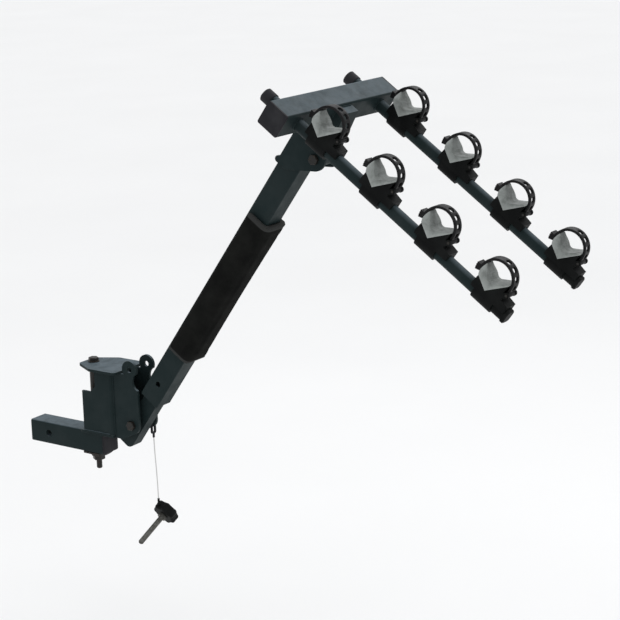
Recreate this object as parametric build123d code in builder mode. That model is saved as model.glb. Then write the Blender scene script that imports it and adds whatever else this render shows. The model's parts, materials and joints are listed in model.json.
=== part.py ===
"""Hitch bike rack: a tilting mast on a receiver bracket, with two folding arms of strapped cradles.

Millimetres. +Z is up, +Y points forward to the vehicle and +X to the vehicle's right. The origin is the
centre of the hitch pin hole. The rack is drawn as it stands in use for loading: the mast tilted back on
its stop, the lock pin pulled out and hanging from its wire.
"""
import os
from math import cos, hypot, radians, sin, tan

from build123d import *

os.makedirs("parts", exist_ok=True)

# Receiver shank and its pin hole
shank_width = 50.8
shank_wall = 6.35
shank_front = 55.0
shank_rear = 159.0
pin_hole_radius = 8.1
plug_flange = 3.0
plug_depth = 14.0

# Plates of the receiver bracket
plate = 6.0
bracket_width = 77.0
bracket_height = 144.0
bracket_front = 120.0
web_back = 206.0
window_height = 52.0
window_length = 38.0
window_corner = 14.0
cheek_gap = 53.0
pivot_back = 254.0
pivot_rise = 36.0
cheek_radius = 21.0
ear_radius = 20.0
ear_rise = 12.0
cheek_foot = 20.0
waist_radius = 20.0
waist_depth = 14.0
waist_drop = 6.0
top_plate_width = 106.0
top_plate_front = 104.0
top_plate_shoulder = 30.0
top_plate_corner = 9.0

# Clamp bolt through the shank
clamp_back = 125.0
clamp_radius = 6.35
clamp_tail = 21.0
clamp_head_across = 20.0
clamp_head_height = 8.0
washer_radius = 13.0
washer_height = 2.0
sleeve_wall = 4.0
block_width = 50.0
block_edge = 4.0
block_sag = 4.0
clamp_nut_height = 10.0
clamp_nut_across = 24.0
flange_radius = 17.5
flange_height = 4.0

# Hexagon bolts and lock nuts across the two hinges
hinge_radius = 6.35
hinge_head_across = 19.0
hinge_head_height = 8.0
hinge_nut_height = 12.0
hinge_thread = 3.0
bush_wall = 2.8
spacer_radius = 12.0
running_gap = 0.05
side_gap = 0.4

# Mast, measured up its axis from the tilt pivot
lean = 35.6
tube_width = 50.8
tube_wall = 3.2
tube_corner = 4.0
tube_start = 77.0
mast_reach = 895.0
lock_hole_radius = 6.4
foot_width = 30.0
foot_depth = 38.0
foot_tail = 65.0
foot_corner = 14.0
foot_toe = 5.0
foot_overlap = 28.0
foot_cap = 6.0
stop_gap = 0.3
foam_start = 223.0
foam_end = 610.0
foam_thickness = 12.0
foam_corner = 11.0
foam_lip = 6.0
mast_cap_height = 3.0
mast_cap_depth = 12.0

# Fold hinge at the top of the mast
fold_below = 95.0
fold_back = 43.0
yoke_radius = 24.0
yoke_bottom = 157.0
yoke_ear = 7.0
lug_radius = 16.0
lug_wall = 6.0
lug_inset = 6.0
lug_shoulder = 2.0
head_rest_gap = 0.4

# Head bar and arms
head_length = 394.0
head_cap = 4.0
head_cap_depth = 14.0
arm_spacing = 287.0
arm_radius = 12.7
arm_wall = 2.0
arm_tip = 569.0
arm_stub = 60.0
cap_end = 5.0
stub_cap_radius = 14.4
stub_cap_length = 17.0
tip_cap_across = 27.6
tip_cap_corner = 8.0
tip_cap_bevel = 2.0
tip_cap_length = 2.5
tip_collar_radius = 13.7
tip_collar_length = 27.0

# Cradles, measured along the arm and above its axis
cradle_count = 4
cradle_first = 84.0
cradle_pitch = 144.0
ring_height = 47.0
pad_outer = 31.0
pad_width = 40.0
trough_back = 3.0
trough_drop = 12.0
trough_lead_angle = 138.0
trough_trail_angle = 35.0
trough_round = 9.0
seat_back = 1.4
seat_drop = 29.0
seat_trail_angle = 50.0
seat_wing = 205.0
seat_horn = 13.0
base_width = 32.0
sleeve_radius = 17.0
sleeve_length = 46.0
sleeve_offset = 2.0
foot_lead = 31.0
foot_trail = 50.0
foot_low = 6.0
foot_high = 21.0
notch_height = 24.0
foot_clear = 1.6
strap_width = 22.0
strap_thickness = 5.0
strap_gap = 0.5
strap_start = -12.0
strap_stop = 198.0
slot_count = 4
slot_width = 11.0
slot_angle = 17.0
slot_first = 6.0
slot_pitch = 28.0
swing_start = 164.0
grip_start = 180.0
grip_thickness = 9.0
eye_out = 35.5
eye_drop = 10.0
eye_radius = 5.0
eye_clear = 1.2
strap_pin_radius = 2.5

# Lock pin on its wire, hanging from the right cheek
wire_radius = 1.25
wire_points = [(0.0, 0.0), (-0.7, -32.0), (-2.9, -71.0), (-4.6, -110.0), (-5.0, -143.0)]
loop_back = 263.0
loop_top = 51.0
loop_height = 24.0
loop_width = 15.0
loop_bar = 4.0
loop_hole_radius = 3.0
ferrule_radius = 2.6
ferrule_length = 9.0
pin_radius = 6.0
pin_length = 84.0
pin_nose = 3.0
pin_socket = 12.0
collar_radius = 10.0
collar_length = 7.0
knob_radius = 29.0
knob_thickness = 22.0
knob_lobes = 7
lobe_radius = 7.5
lobe_height = 3.0
notch_radius = 5.0
knob_edge = 5.0
eyelet_radius = 4.0
pin_aim = (-0.829, 0.153, -0.538)
knob_offset = (16.9, -6.1, -27.8)

# Places worked out from the sizes above
half_shank = shank_width / 2
half_tube = tube_width / 2
half_gap = cheek_gap / 2
half_bracket = bracket_width / 2
floor_z = half_shank + plate
roof_z = floor_z + bracket_height
pivot_y = -pivot_back
pivot_z = half_shank + pivot_rise
lock_z = roof_z + ear_rise
lock_reach = lock_z - pivot_z
lean_sin = sin(radians(lean))
lean_cos = cos(radians(lean))
up_mast = Vector(0, -lean_sin, lean_cos)
ahead = Vector(0, lean_cos, lean_sin)
pivot = Vector(0, pivot_y, pivot_z)
head = pivot + up_mast * mast_reach
fold_z = mast_reach - fold_below
bush_radius = hinge_radius + running_gap + bush_wall
head_under = mast_reach - half_tube
tube_end = head_under - head_rest_gap - mast_cap_height
yoke_outer = half_tube + plate
fold_w = -fold_back
lug_half = half_tube - side_gap
strap_inner = pad_outer + strap_gap
strap_outer = strap_inner + strap_thickness
seat_reach = 3 * pad_outer
swing_radius = pad_outer + hypot(eye_out, eye_drop) + strap_gap

# Planes: straight up the mast, and its side view with x ahead and y up the mast
mast = Plane(origin=tuple(pivot), x_dir=(1, 0, 0), z_dir=tuple(up_mast))
mast_side = Plane(origin=tuple(pivot), x_dir=tuple(ahead), z_dir=(1, 0, 0))


def arm_side(side, along):
    """The side view of an arm at a distance from the head: x runs to the tip, y away from the arm."""
    origin = head - ahead * along + Vector(side * arm_spacing / 2, 0, 0)
    return Plane(origin=tuple(origin), x_dir=tuple(ahead * -1), z_dir=(-1, 0, 0))


def arm_section(side, along):
    """The plane square to an arm at a distance from the head, facing the tip."""
    origin = head - ahead * along + Vector(side * arm_spacing / 2, 0, 0)
    return Plane(origin=tuple(origin), x_dir=(1, 0, 0), z_dir=tuple(ahead * -1))


def ring_point(radius, angle):
    """A point of a cradle's side view at a radius and angle round the middle of its ring."""
    return (radius * cos(radians(angle)), ring_height + radius * sin(radians(angle)))


def ring_segment(inner, outer, start, stop):
    """A flat ring segment between two angles round the middle of a cradle's ring."""
    with BuildSketch() as segment:
        with BuildLine():
            CenterArc((0, ring_height), inner, start, stop - start)
            CenterArc((0, ring_height), outer, start, stop - start)
            Line(ring_point(inner, start), ring_point(outer, start))
            Line(ring_point(inner, stop), ring_point(outer, stop))
        make_face()
    return segment.sketch


def hinge_bolt(origin, grip):
    """A hexagon bolt across the rack: its head lies on the left face of the grip, at -X."""
    with BuildPart() as bolt:
        with BuildSketch(Plane(origin=origin, x_dir=(0, 1, 0), z_dir=(1, 0, 0)).offset(-grip / 2)):
            RegularPolygon(hinge_head_across / 2, 6, major_radius=False)
        extrude(amount=-hinge_head_height)
        chamfer(bolt.faces().sort_by(Axis.X)[0].edges(), 1.0)
        with BuildSketch(Plane(origin=origin, x_dir=(0, 1, 0), z_dir=(1, 0, 0)).offset(-grip / 2)):
            Circle(hinge_radius)
        extrude(amount=grip + hinge_nut_height + hinge_thread)
        chamfer(bolt.faces().sort_by(Axis.X)[-1].edges(), 1.2)
    return bolt.part


def hinge_nut(origin, grip):
    """The lock nut of a hinge bolt, on the right face of the grip, with its round collar outwards."""
    with BuildPart() as nut:
        with BuildSketch(Plane(origin=origin, x_dir=(0, 1, 0), z_dir=(1, 0, 0)).offset(grip / 2)):
            RegularPolygon(hinge_head_across / 2, 6, major_radius=False)
        extrude(amount=hinge_nut_height * 0.7)
        with BuildSketch(Plane(origin=origin, x_dir=(0, 1, 0), z_dir=(1, 0, 0)).offset(grip / 2)):
            Circle(hinge_head_across * 0.45)
        extrude(amount=hinge_nut_height)
        chamfer(nut.faces().sort_by(Axis.X)[-1].edges(), 1.2)
        with BuildSketch(Plane(origin=origin, x_dir=(0, 1, 0), z_dir=(1, 0, 0)).offset(grip / 2)):
            Circle(hinge_radius + running_gap)
        extrude(amount=hinge_nut_height, mode=Mode.SUBTRACT)
    return nut.part


# Shank: square tube with the pin hole through both side walls
with BuildPart() as hitch_shank:
    with BuildSketch(Plane.XZ.offset(-shank_front)):
        RectangleRounded(shank_width, shank_width, tube_corner)
        offset(amount=-shank_wall, mode=Mode.SUBTRACT)
    extrude(amount=shank_front + shank_rear)
    with BuildSketch(Plane.YZ):
        Circle(pin_hole_radius)
    extrude(amount=half_shank, both=True, mode=Mode.SUBTRACT)
    with BuildSketch(Plane.XY):
        with Locations((0, -clamp_back)):
            Circle(clamp_radius + running_gap)
    extrude(amount=half_shank, both=True, mode=Mode.SUBTRACT)
    chamfer(hitch_shank.faces().sort_by(Axis.Y)[-1].outer_wire().edges(), 2.0)

hitch_shank.part.label = "hitch_shank"
export_step(hitch_shank.part, "parts/hitch_shank.step")

# Plug in the shank's rear end
with BuildPart() as shank_plug:
    with BuildSketch(Plane.XZ.offset(shank_rear)):
        RectangleRounded(shank_width - 1.0, shank_width - 1.0, tube_corner)
    extrude(amount=plug_flange)
    chamfer(shank_plug.faces().sort_by(Axis.Y)[0].edges(), 1.0)
    with BuildSketch(Plane.XZ.offset(shank_rear)):
        Rectangle(shank_width - 2 * shank_wall, shank_width - 2 * shank_wall)
        offset(amount=-2.5, mode=Mode.SUBTRACT)
    extrude(amount=-plug_depth)

shank_plug.part.label = "shank_plug"
export_step(shank_plug.part, "parts/shank_plug.step")

# Base plate on the shank: its rear lower edge is the stop that the mast's foot leans against
stop_y = pivot_y + (foot_depth / 2 + pivot_rise * lean_sin + stop_gap) / lean_cos

with BuildPart() as base_plate:
    with BuildSketch(Plane.XY.offset(half_shank)):
        with Locations((0, (stop_y - top_plate_front) / 2)):
            Rectangle(bracket_width, -top_plate_front - stop_y)
        with Locations((0, -clamp_back)):
            Circle(clamp_radius + running_gap, mode=Mode.SUBTRACT)
    extrude(amount=plate)
    fillet(base_plate.edges().filter_by(Axis.Z).group_by(Axis.Y)[-1], 12.0)

base_plate.part.label = "base_plate"
export_step(base_plate.part, "parts/base_plate.step")

# Channel: two side walls and a rear web bent from one sheet, open to the front round the clamp bolt
with BuildPart() as hitch_channel:
    with BuildSketch(Plane.XY.offset(floor_z)):
        with Locations((0, -(web_back + bracket_front) / 2)):
            Rectangle(bracket_width, web_back - bracket_front)
        with Locations((0, -(web_back - plate + bracket_front) / 2)):
            Rectangle(bracket_width - 2 * plate, web_back - plate - bracket_front, mode=Mode.SUBTRACT)
    extrude(amount=bracket_height)
    fillet(hitch_channel.edges().filter_by(Axis.Z).group_by(Axis.Y)[0], plate + 2.0)
    fillet(hitch_channel.edges().filter_by(Axis.Z).group_by(Axis.Y)[1], 2.0)
    with BuildSketch(Plane.YZ):
        with BuildLine():
            Polyline(
                (-bracket_front, roof_z),
                (-bracket_front - window_length, roof_z),
                (-bracket_front - window_length, roof_z - window_height + window_corner),
                (-bracket_front - window_length + window_corner, roof_z - window_height),
                (-bracket_front, roof_z - window_height),
                close=True,
            )
        make_face()
    extrude(amount=half_bracket, both=True, mode=Mode.SUBTRACT)

hitch_channel.part.label = "hitch_channel"
export_step(hitch_channel.part, "parts/hitch_channel.step")

# Cheeks: the pivot at the lower rear, the lock pin's ear at the top
for cheek_name, cheek_side in (("left_cheek", -1), ("right_cheek", 1)):
    inner_x = cheek_side * half_gap
    with BuildPart() as cheek:
        with BuildSketch(Plane.YZ.offset(inner_x)):
            with Locations((pivot_y, pivot_z)):
                Circle(cheek_radius)
            with BuildLine():
                Line((-web_back, half_shank), (-web_back - cheek_foot, half_shank))
                Line((-web_back, half_shank), (-web_back, pivot_z + cheek_radius))
            make_hull()
            with BuildLine():
                Polyline(
                    (-web_back, pivot_z),
                    (-web_back, roof_z),
                    (pivot_y - cheek_radius, roof_z),
                    (pivot_y - cheek_radius, pivot_z),
                    close=True,
                )
            make_face()
            with Locations((pivot_y, lock_z)):
                Circle(ear_radius)
            with Locations((pivot_y - cheek_radius - waist_radius + waist_depth, lock_z - ear_radius - waist_drop)):
                Circle(waist_radius, mode=Mode.SUBTRACT)
            with Locations((pivot_y, pivot_z)):
                Circle(hinge_radius + running_gap, mode=Mode.SUBTRACT)
            with Locations((pivot_y, lock_z)):
                Circle(lock_hole_radius, mode=Mode.SUBTRACT)
        extrude(amount=cheek_side * plate)
        if cheek_side == 1:
            with BuildSketch(Plane.YZ.offset(inner_x)):
                with Locations((-loop_back, loop_top - loop_bar / 2)):
                    Circle(loop_hole_radius)
            extrude(amount=plate, mode=Mode.SUBTRACT)
    cheek.part.label = cheek_name
    export_step(cheek.part, f"parts/{cheek_name}.step")

# Top plate over the channel, with its rear edge just clear of the upright mast
top_plate_rear = pivot_y + half_tube + 0.6
with BuildPart() as top_plate:
    with BuildSketch(Plane.XY.offset(roof_z)):
        with BuildLine():
            Polyline(
                (-top_plate_width / 2, top_plate_rear),
                (-top_plate_width / 2, -clamp_back - top_plate_shoulder),
                (-half_shank, -top_plate_front),
                (half_shank, -top_plate_front),
                (top_plate_width / 2, -clamp_back - top_plate_shoulder),
                (top_plate_width / 2, top_plate_rear),
                close=True,
            )
        make_face()
        fillet(vertices(), top_plate_corner)
        with Locations((0, -clamp_back)):
            Circle(clamp_radius + running_gap, mode=Mode.SUBTRACT)
    extrude(amount=plate)

top_plate.part.label = "top_plate"
export_step(top_plate.part, "parts/top_plate.step")

# Clamp bolt: down through the top plate, the sleeve and the shank
block_bottom = -half_shank - block_edge - block_sag
nut_bottom = block_bottom - flange_height - clamp_nut_height
clamp_tip = nut_bottom - clamp_tail
clamp_head_z = roof_z + plate

with BuildPart() as clamp_bolt:
    with BuildSketch(Plane.XY.offset(clamp_head_z)):
        with Locations((0, -clamp_back)):
            Circle(washer_radius)
    extrude(amount=washer_height)
    with BuildSketch(Plane.XY.offset(clamp_head_z)):
        with Locations((0, -clamp_back)):
            RegularPolygon(clamp_head_across / 2, 6, major_radius=False)
    extrude(amount=washer_height + clamp_head_height)
    chamfer(clamp_bolt.faces().sort_by(Axis.Z)[-1].edges(), 1.2)
    with BuildSketch(Plane.XY.offset(clamp_tip)):
        with Locations((0, -clamp_back)):
            Circle(clamp_radius)
    extrude(amount=clamp_head_z - clamp_tip)
    chamfer(clamp_bolt.faces().sort_by(Axis.Z)[0].edges(), 1.5)

clamp_bolt.part.label = "clamp_bolt"
export_step(clamp_bolt.part, "parts/clamp_bolt.step")

# Sleeve round the clamp bolt inside the channel
with BuildPart() as bolt_sleeve:
    with BuildSketch(Plane.XY.offset(floor_z)):
        with Locations((0, -clamp_back)):
            Circle(clamp_radius + running_gap + sleeve_wall)
            Circle(clamp_radius + running_gap, mode=Mode.SUBTRACT)
    extrude(amount=bracket_height)

bolt_sleeve.part.label = "bolt_sleeve"
export_step(bolt_sleeve.part, "parts/bolt_sleeve.step")

# Clamp block under the shank, with a curved underside
with BuildPart() as clamp_block:
    with BuildSketch(Plane.XZ.offset(clamp_back)):
        with BuildLine():
            Line((-block_width / 2, -half_shank), (block_width / 2, -half_shank))
            Line((-block_width / 2, -half_shank), (-block_width / 2, -half_shank - block_edge))
            Line((block_width / 2, -half_shank), (block_width / 2, -half_shank - block_edge))
            ThreePointArc(
                (-block_width / 2, -half_shank - block_edge),
                (0, block_bottom),
                (block_width / 2, -half_shank - block_edge),
            )
        make_face()
    extrude(amount=block_width / 2, both=True)
    fillet(clamp_block.edges().filter_by(Axis.Z), 4.0)
    with BuildSketch(Plane.XY.offset(block_bottom)):
        with Locations((0, -clamp_back)):
            Circle(flange_radius)
    extrude(amount=block_sag)
    with BuildSketch(Plane.XY.offset(block_bottom)):
        with Locations((0, -clamp_back)):
            Circle(clamp_radius + running_gap)
    extrude(amount=block_edge + block_sag, mode=Mode.SUBTRACT)

clamp_block.part.label = "clamp_block"
export_step(clamp_block.part, "parts/clamp_block.step")

# Flange nut under the clamp block
with BuildPart() as clamp_nut:
    with BuildSketch(Plane.XY.offset(block_bottom)):
        with Locations((0, -clamp_back)):
            Circle(flange_radius)
    extrude(amount=-flange_height, taper=20)
    with BuildSketch(Plane.XY.offset(block_bottom)):
        with Locations((0, -clamp_back)):
            RegularPolygon(clamp_nut_across / 2, 6, major_radius=False)
    extrude(amount=-flange_height - clamp_nut_height)
    chamfer(clamp_nut.faces().sort_by(Axis.Z)[0].edges(), 1.2)
    with BuildSketch(Plane.XY.offset(block_bottom)):
        with Locations((0, -clamp_back)):
            Circle(clamp_radius + running_gap)
    extrude(amount=-flange_height - clamp_nut_height, mode=Mode.SUBTRACT)

clamp_nut.part.label = "clamp_nut"
export_step(clamp_nut.part, "parts/clamp_nut.step")

# Tilt pivot: bolt, lock nut and the spacers each side of the mast's foot
cheek_outer = half_gap + plate

tilt_bolt = hinge_bolt(tuple(pivot), 2 * cheek_outer)
tilt_bolt.label = "tilt_bolt"
export_step(tilt_bolt, "parts/tilt_bolt.step")

tilt_nut = hinge_nut(tuple(pivot), 2 * cheek_outer)
tilt_nut.label = "tilt_nut"
export_step(tilt_nut, "parts/tilt_nut.step")

with BuildPart() as tilt_spacers:
    for spacer_side in (-1, 1):
        with BuildSketch(Plane.YZ.offset(spacer_side * (foot_width / 2 + side_gap))):
            with Locations((pivot_y, pivot_z)):
                Circle(spacer_radius)
                Circle(hinge_radius + running_gap, mode=Mode.SUBTRACT)
        extrude(amount=spacer_side * (half_gap - foot_width / 2 - side_gap))

tilt_spacers.part.label = "tilt_spacers"
export_step(tilt_spacers.part, "parts/tilt_spacers.step")

# Mast tube, with the lock pin's hole across it
with BuildPart() as mast_tube:
    with BuildSketch(mast.offset(tube_start)):
        RectangleRounded(tube_width, tube_width, tube_corner)
        offset(amount=-tube_wall, mode=Mode.SUBTRACT)
    extrude(amount=tube_end - tube_start)
    with BuildSketch(mast_side):
        with Locations((0, lock_reach)):
            Circle(lock_hole_radius)
    extrude(amount=half_tube, both=True, mode=Mode.SUBTRACT)

mast_tube.part.label = "mast_tube"
export_step(mast_tube.part, "parts/mast_tube.step")

# Mast foot: a tongue on the tilt pivot, closing the tube's lower end
bore_width = tube_width - 2 * tube_wall

with BuildPart() as mast_foot:
    with BuildSketch(mast_side):
        with Locations((0, (tube_start + foot_overlap - foot_tail) / 2)):
            Rectangle(foot_depth, tube_start + foot_overlap + foot_tail)
    extrude(amount=foot_width / 2, both=True)
    with BuildSketch(mast.offset(tube_start)):
        RectangleRounded(bore_width, bore_width, tube_corner - tube_wall)
    extrude(amount=foot_cap)
    foot_ends = mast_foot.edges().filter_by(Axis.X).sort_by(Axis.Z)
    fillet(foot_ends[0], foot_corner)
    fillet(foot_ends[1], foot_toe)
    with BuildSketch(mast_side):
        Circle(bush_radius)
    extrude(amount=foot_width / 2, both=True, mode=Mode.SUBTRACT)

mast_foot.part.label = "mast_foot"
export_step(mast_foot.part, "parts/mast_foot.step")

with BuildPart() as foot_bushing:
    with BuildSketch(mast_side):
        Circle(bush_radius)
        Circle(hinge_radius + running_gap, mode=Mode.SUBTRACT)
    extrude(amount=foot_width / 2, both=True)

foot_bushing.part.label = "foot_bushing"
export_step(foot_bushing.part, "parts/foot_bushing.step")

# Foam pad round the sides and back of the mast
foam_half = half_tube + foam_thickness
foam_front = half_tube - foam_lip
foam_length = foam_end - foam_start

with BuildPart() as mast_pad:
    with BuildSketch(mast.offset(foam_start)):
        with BuildLine():
            Polyline(
                (-foam_half, foam_front),
                (-foam_half, -foam_half),
                (foam_half, -foam_half),
                (foam_half, foam_front),
                (half_tube, foam_front),
                (half_tube, -half_tube),
                (-half_tube, -half_tube),
                (-half_tube, foam_front),
                close=True,
            )
        make_face()
    extrude(amount=foam_length)
    foam_edges = mast_pad.edges().filter_by(lambda edge: abs(edge.length - foam_length) < 0.1)
    fillet(foam_edges.group_by(Axis.Z)[0], foam_corner)

mast_pad.part.label = "mast_pad"
export_step(mast_pad.part, "parts/mast_pad.step")

# Cap in the mast's upper end
with BuildPart() as mast_cap:
    with BuildSketch(mast.offset(tube_end)):
        RectangleRounded(tube_width, tube_width, tube_corner)
    extrude(amount=mast_cap_height)
    with BuildSketch(mast.offset(tube_end)):
        RectangleRounded(bore_width, bore_width, tube_corner - tube_wall)
        offset(amount=-2.5, mode=Mode.SUBTRACT)
    extrude(amount=-mast_cap_depth)

mast_cap.part.label = "mast_cap"
export_step(mast_cap.part, "parts/mast_cap.step")

# Yoke: a plate on each side of the mast's top, carrying the fold bolt behind it
yoke_low = mast_reach - yoke_bottom

for yoke_name, yoke_side in (("left_yoke", -1), ("right_yoke", 1)):
    with BuildPart() as yoke:
        with BuildSketch(mast_side.offset(yoke_side * half_tube)):
            with Locations((fold_w, fold_z)):
                Circle(yoke_radius)
            with BuildLine():
                Line((-half_tube, tube_end), (half_tube, tube_end))
                Line((0, yoke_low), (half_tube, yoke_low))
            make_hull()
            with Locations((half_tube, yoke_low + yoke_ear)):
                Circle(yoke_ear)
            with Locations((fold_w, fold_z)):
                Circle(hinge_radius + running_gap, mode=Mode.SUBTRACT)
        extrude(amount=yoke_side * plate)
    yoke.part.label = yoke_name
    export_step(yoke.part, f"parts/{yoke_name}.step")

fold_axis = tuple(pivot + ahead * fold_w + up_mast * fold_z)

fold_bolt = hinge_bolt(fold_axis, 2 * yoke_outer)
fold_bolt.label = "fold_bolt"
export_step(fold_bolt, "parts/fold_bolt.step")

fold_nut = hinge_nut(fold_axis, 2 * yoke_outer)
fold_nut.label = "fold_nut"
export_step(fold_nut, "parts/fold_nut.step")

# Head bar across the mast's top, with the arms' holes through it
with BuildPart() as head_bar:
    with BuildSketch(mast_side):
        with Locations((0, mast_reach)):
            RectangleRounded(tube_width, tube_width, tube_corner)
            RectangleRounded(bore_width, bore_width, tube_corner - tube_wall, mode=Mode.SUBTRACT)
    extrude(amount=head_length / 2 - head_cap, both=True)
    with BuildSketch(arm_section(-1, 0), arm_section(1, 0)):
        Circle(arm_radius)
    extrude(amount=half_tube, both=True, mode=Mode.SUBTRACT)

head_bar.part.label = "head_bar"
export_step(head_bar.part, "parts/head_bar.step")

# Lug behind the head bar: a box open below and towards the mast, turning on the fold bolt
lug_front = fold_w + lug_radius
lug_top = mast_reach + half_tube - lug_inset
lug_weld = head_under + lug_inset
lug_ceiling = lug_top - lug_wall

with BuildPart() as head_lug:
    with BuildSketch(mast_side):
        with Locations((fold_w, fold_z)):
            Circle(lug_radius)
        with BuildLine():
            Line((lug_front, lug_top), (fold_w - lug_shoulder, lug_top))
        make_hull()
        with Locations(((lug_front - half_tube) / 2, (lug_top + lug_weld) / 2)):
            Rectangle(-half_tube - lug_front, lug_top - lug_weld)
    extrude(amount=lug_half, both=True)
    with BuildSketch(mast_side):
        with Locations((fold_w, fold_z)):
            Circle(lug_radius - lug_wall)
        with BuildLine():
            Line((-half_tube, lug_ceiling), (fold_w - lug_shoulder + lug_wall, lug_ceiling))
            Line((-half_tube, fold_z - lug_radius), (-half_tube, lug_ceiling))
        make_hull()
    extrude(amount=lug_half - lug_wall, both=True, mode=Mode.SUBTRACT)
    with BuildSketch(mast_side):
        with Locations((fold_w, fold_z)):
            Circle(bush_radius)
    extrude(amount=lug_half, both=True, mode=Mode.SUBTRACT)

head_lug.part.label = "head_lug"
export_step(head_lug.part, "parts/head_lug.step")

with BuildPart() as lug_bushing:
    with BuildSketch(mast_side):
        with Locations((fold_w, fold_z)):
            Circle(bush_radius)
            Circle(hinge_radius + running_gap, mode=Mode.SUBTRACT)
    extrude(amount=lug_half, both=True)

lug_bushing.part.label = "lug_bushing"
export_step(lug_bushing.part, "parts/lug_bushing.step")

# End caps of the head bar
with BuildPart() as head_caps:
    for cap_side in (-1, 1):
        with BuildSketch(mast_side.offset(cap_side * (head_length / 2 - head_cap))):
            with Locations((0, mast_reach)):
                RectangleRounded(tube_width, tube_width, tube_corner)
        extrude(amount=cap_side * head_cap)
        with BuildSketch(mast_side.offset(cap_side * (head_length / 2 - head_cap))):
            with Locations((0, mast_reach)):
                RectangleRounded(bore_width, bore_width, tube_corner - tube_wall)
                offset(amount=-2.5, mode=Mode.SUBTRACT)
        extrude(amount=-cap_side * head_cap_depth)

head_caps.part.label = "head_caps"
export_step(head_caps.part, "parts/head_caps.step")

# Arms: round tubes through the head bar, with a short stub ahead of it
for arm_name, side in (("left_arm", -1), ("right_arm", 1)):
    with BuildPart() as arm:
        with BuildSketch(arm_section(side, -arm_stub)):
            Circle(arm_radius)
            Circle(arm_radius - arm_wall, mode=Mode.SUBTRACT)
        extrude(amount=arm_stub + arm_tip)
    arm.part.label = arm_name
    export_step(arm.part, f"parts/{arm_name}.step")

with BuildPart() as stub_caps:
    for side in (-1, 1):
        with BuildSketch(arm_section(side, -arm_stub)):
            Circle(stub_cap_radius)
        extrude(amount=-cap_end)
        with BuildSketch(arm_section(side, -arm_stub)):
            Circle(stub_cap_radius)
            Circle(arm_radius, mode=Mode.SUBTRACT)
        extrude(amount=stub_cap_length)
    chamfer(stub_caps.faces().group_by(Axis.Y)[-1].edges(), 1.5)

stub_caps.part.label = "stub_caps"
export_step(stub_caps.part, "parts/stub_caps.step")

with BuildPart() as tip_caps:
    for side in (-1, 1):
        with BuildSketch(arm_section(side, arm_tip - tip_cap_length)):
            RectangleRounded(tip_cap_across, tip_cap_across, tip_cap_corner)
        extrude(amount=tip_cap_length + cap_end - tip_cap_bevel)
        with BuildSketch(arm_section(side, arm_tip + cap_end - tip_cap_bevel)):
            RectangleRounded(tip_cap_across, tip_cap_across, tip_cap_corner)
        extrude(amount=tip_cap_bevel, taper=45)
        with BuildSketch(arm_section(side, arm_tip)):
            Circle(tip_collar_radius)
        extrude(amount=-tip_collar_length)
        with BuildSketch(arm_section(side, arm_tip)):
            Circle(arm_radius)
        extrude(amount=-tip_collar_length, mode=Mode.SUBTRACT)

tip_caps.part.label = "tip_caps"
export_step(tip_caps.part, "parts/tip_caps.step")

# Cradles: a base clamped round the arm, a thick soft pad in it and a strap hinged at its tip side. The
# strap's free end is hollowed by an arc round its hinge, so it swings up past the pad
eye_height = ring_height - eye_drop
trough_foot = Vector(-trough_back, ring_height - trough_drop)
seat_foot = Vector(-seat_back, ring_height - seat_drop)
seat_edge = seat_foot + (Vector(*ring_point(pad_outer, seat_wing)) - seat_foot) * 2

with BuildSketch() as seat_sketch:
    with Locations((0, ring_height)):
        Circle(pad_outer)
    with BuildLine():
        Polyline(
            (-seat_reach, ring_height + seat_reach),
            (-seat_reach, seat_edge.Y),
            seat_edge,
            seat_foot,
            seat_foot + Vector(seat_reach, seat_reach * tan(radians(seat_trail_angle))),
            close=True,
        )
    make_face(mode=Mode.INTERSECT)
seat = seat_sketch.sketch

with BuildSketch() as trough_sketch:
    with BuildLine():
        FilletPolyline(
            trough_foot + Vector(cos(radians(trough_lead_angle)), sin(radians(trough_lead_angle))) * seat_reach,
            trough_foot,
            trough_foot + Vector(cos(radians(trough_trail_angle)), sin(radians(trough_trail_angle))) * seat_reach,
            radius=trough_round,
        )
        Polyline(
            trough_foot + Vector(cos(radians(trough_trail_angle)), sin(radians(trough_trail_angle))) * seat_reach,
            (0, ring_height + 2 * seat_reach),
            trough_foot + Vector(cos(radians(trough_lead_angle)), sin(radians(trough_lead_angle))) * seat_reach,
        )
    make_face()
trough = trough_sketch.sketch

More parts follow.
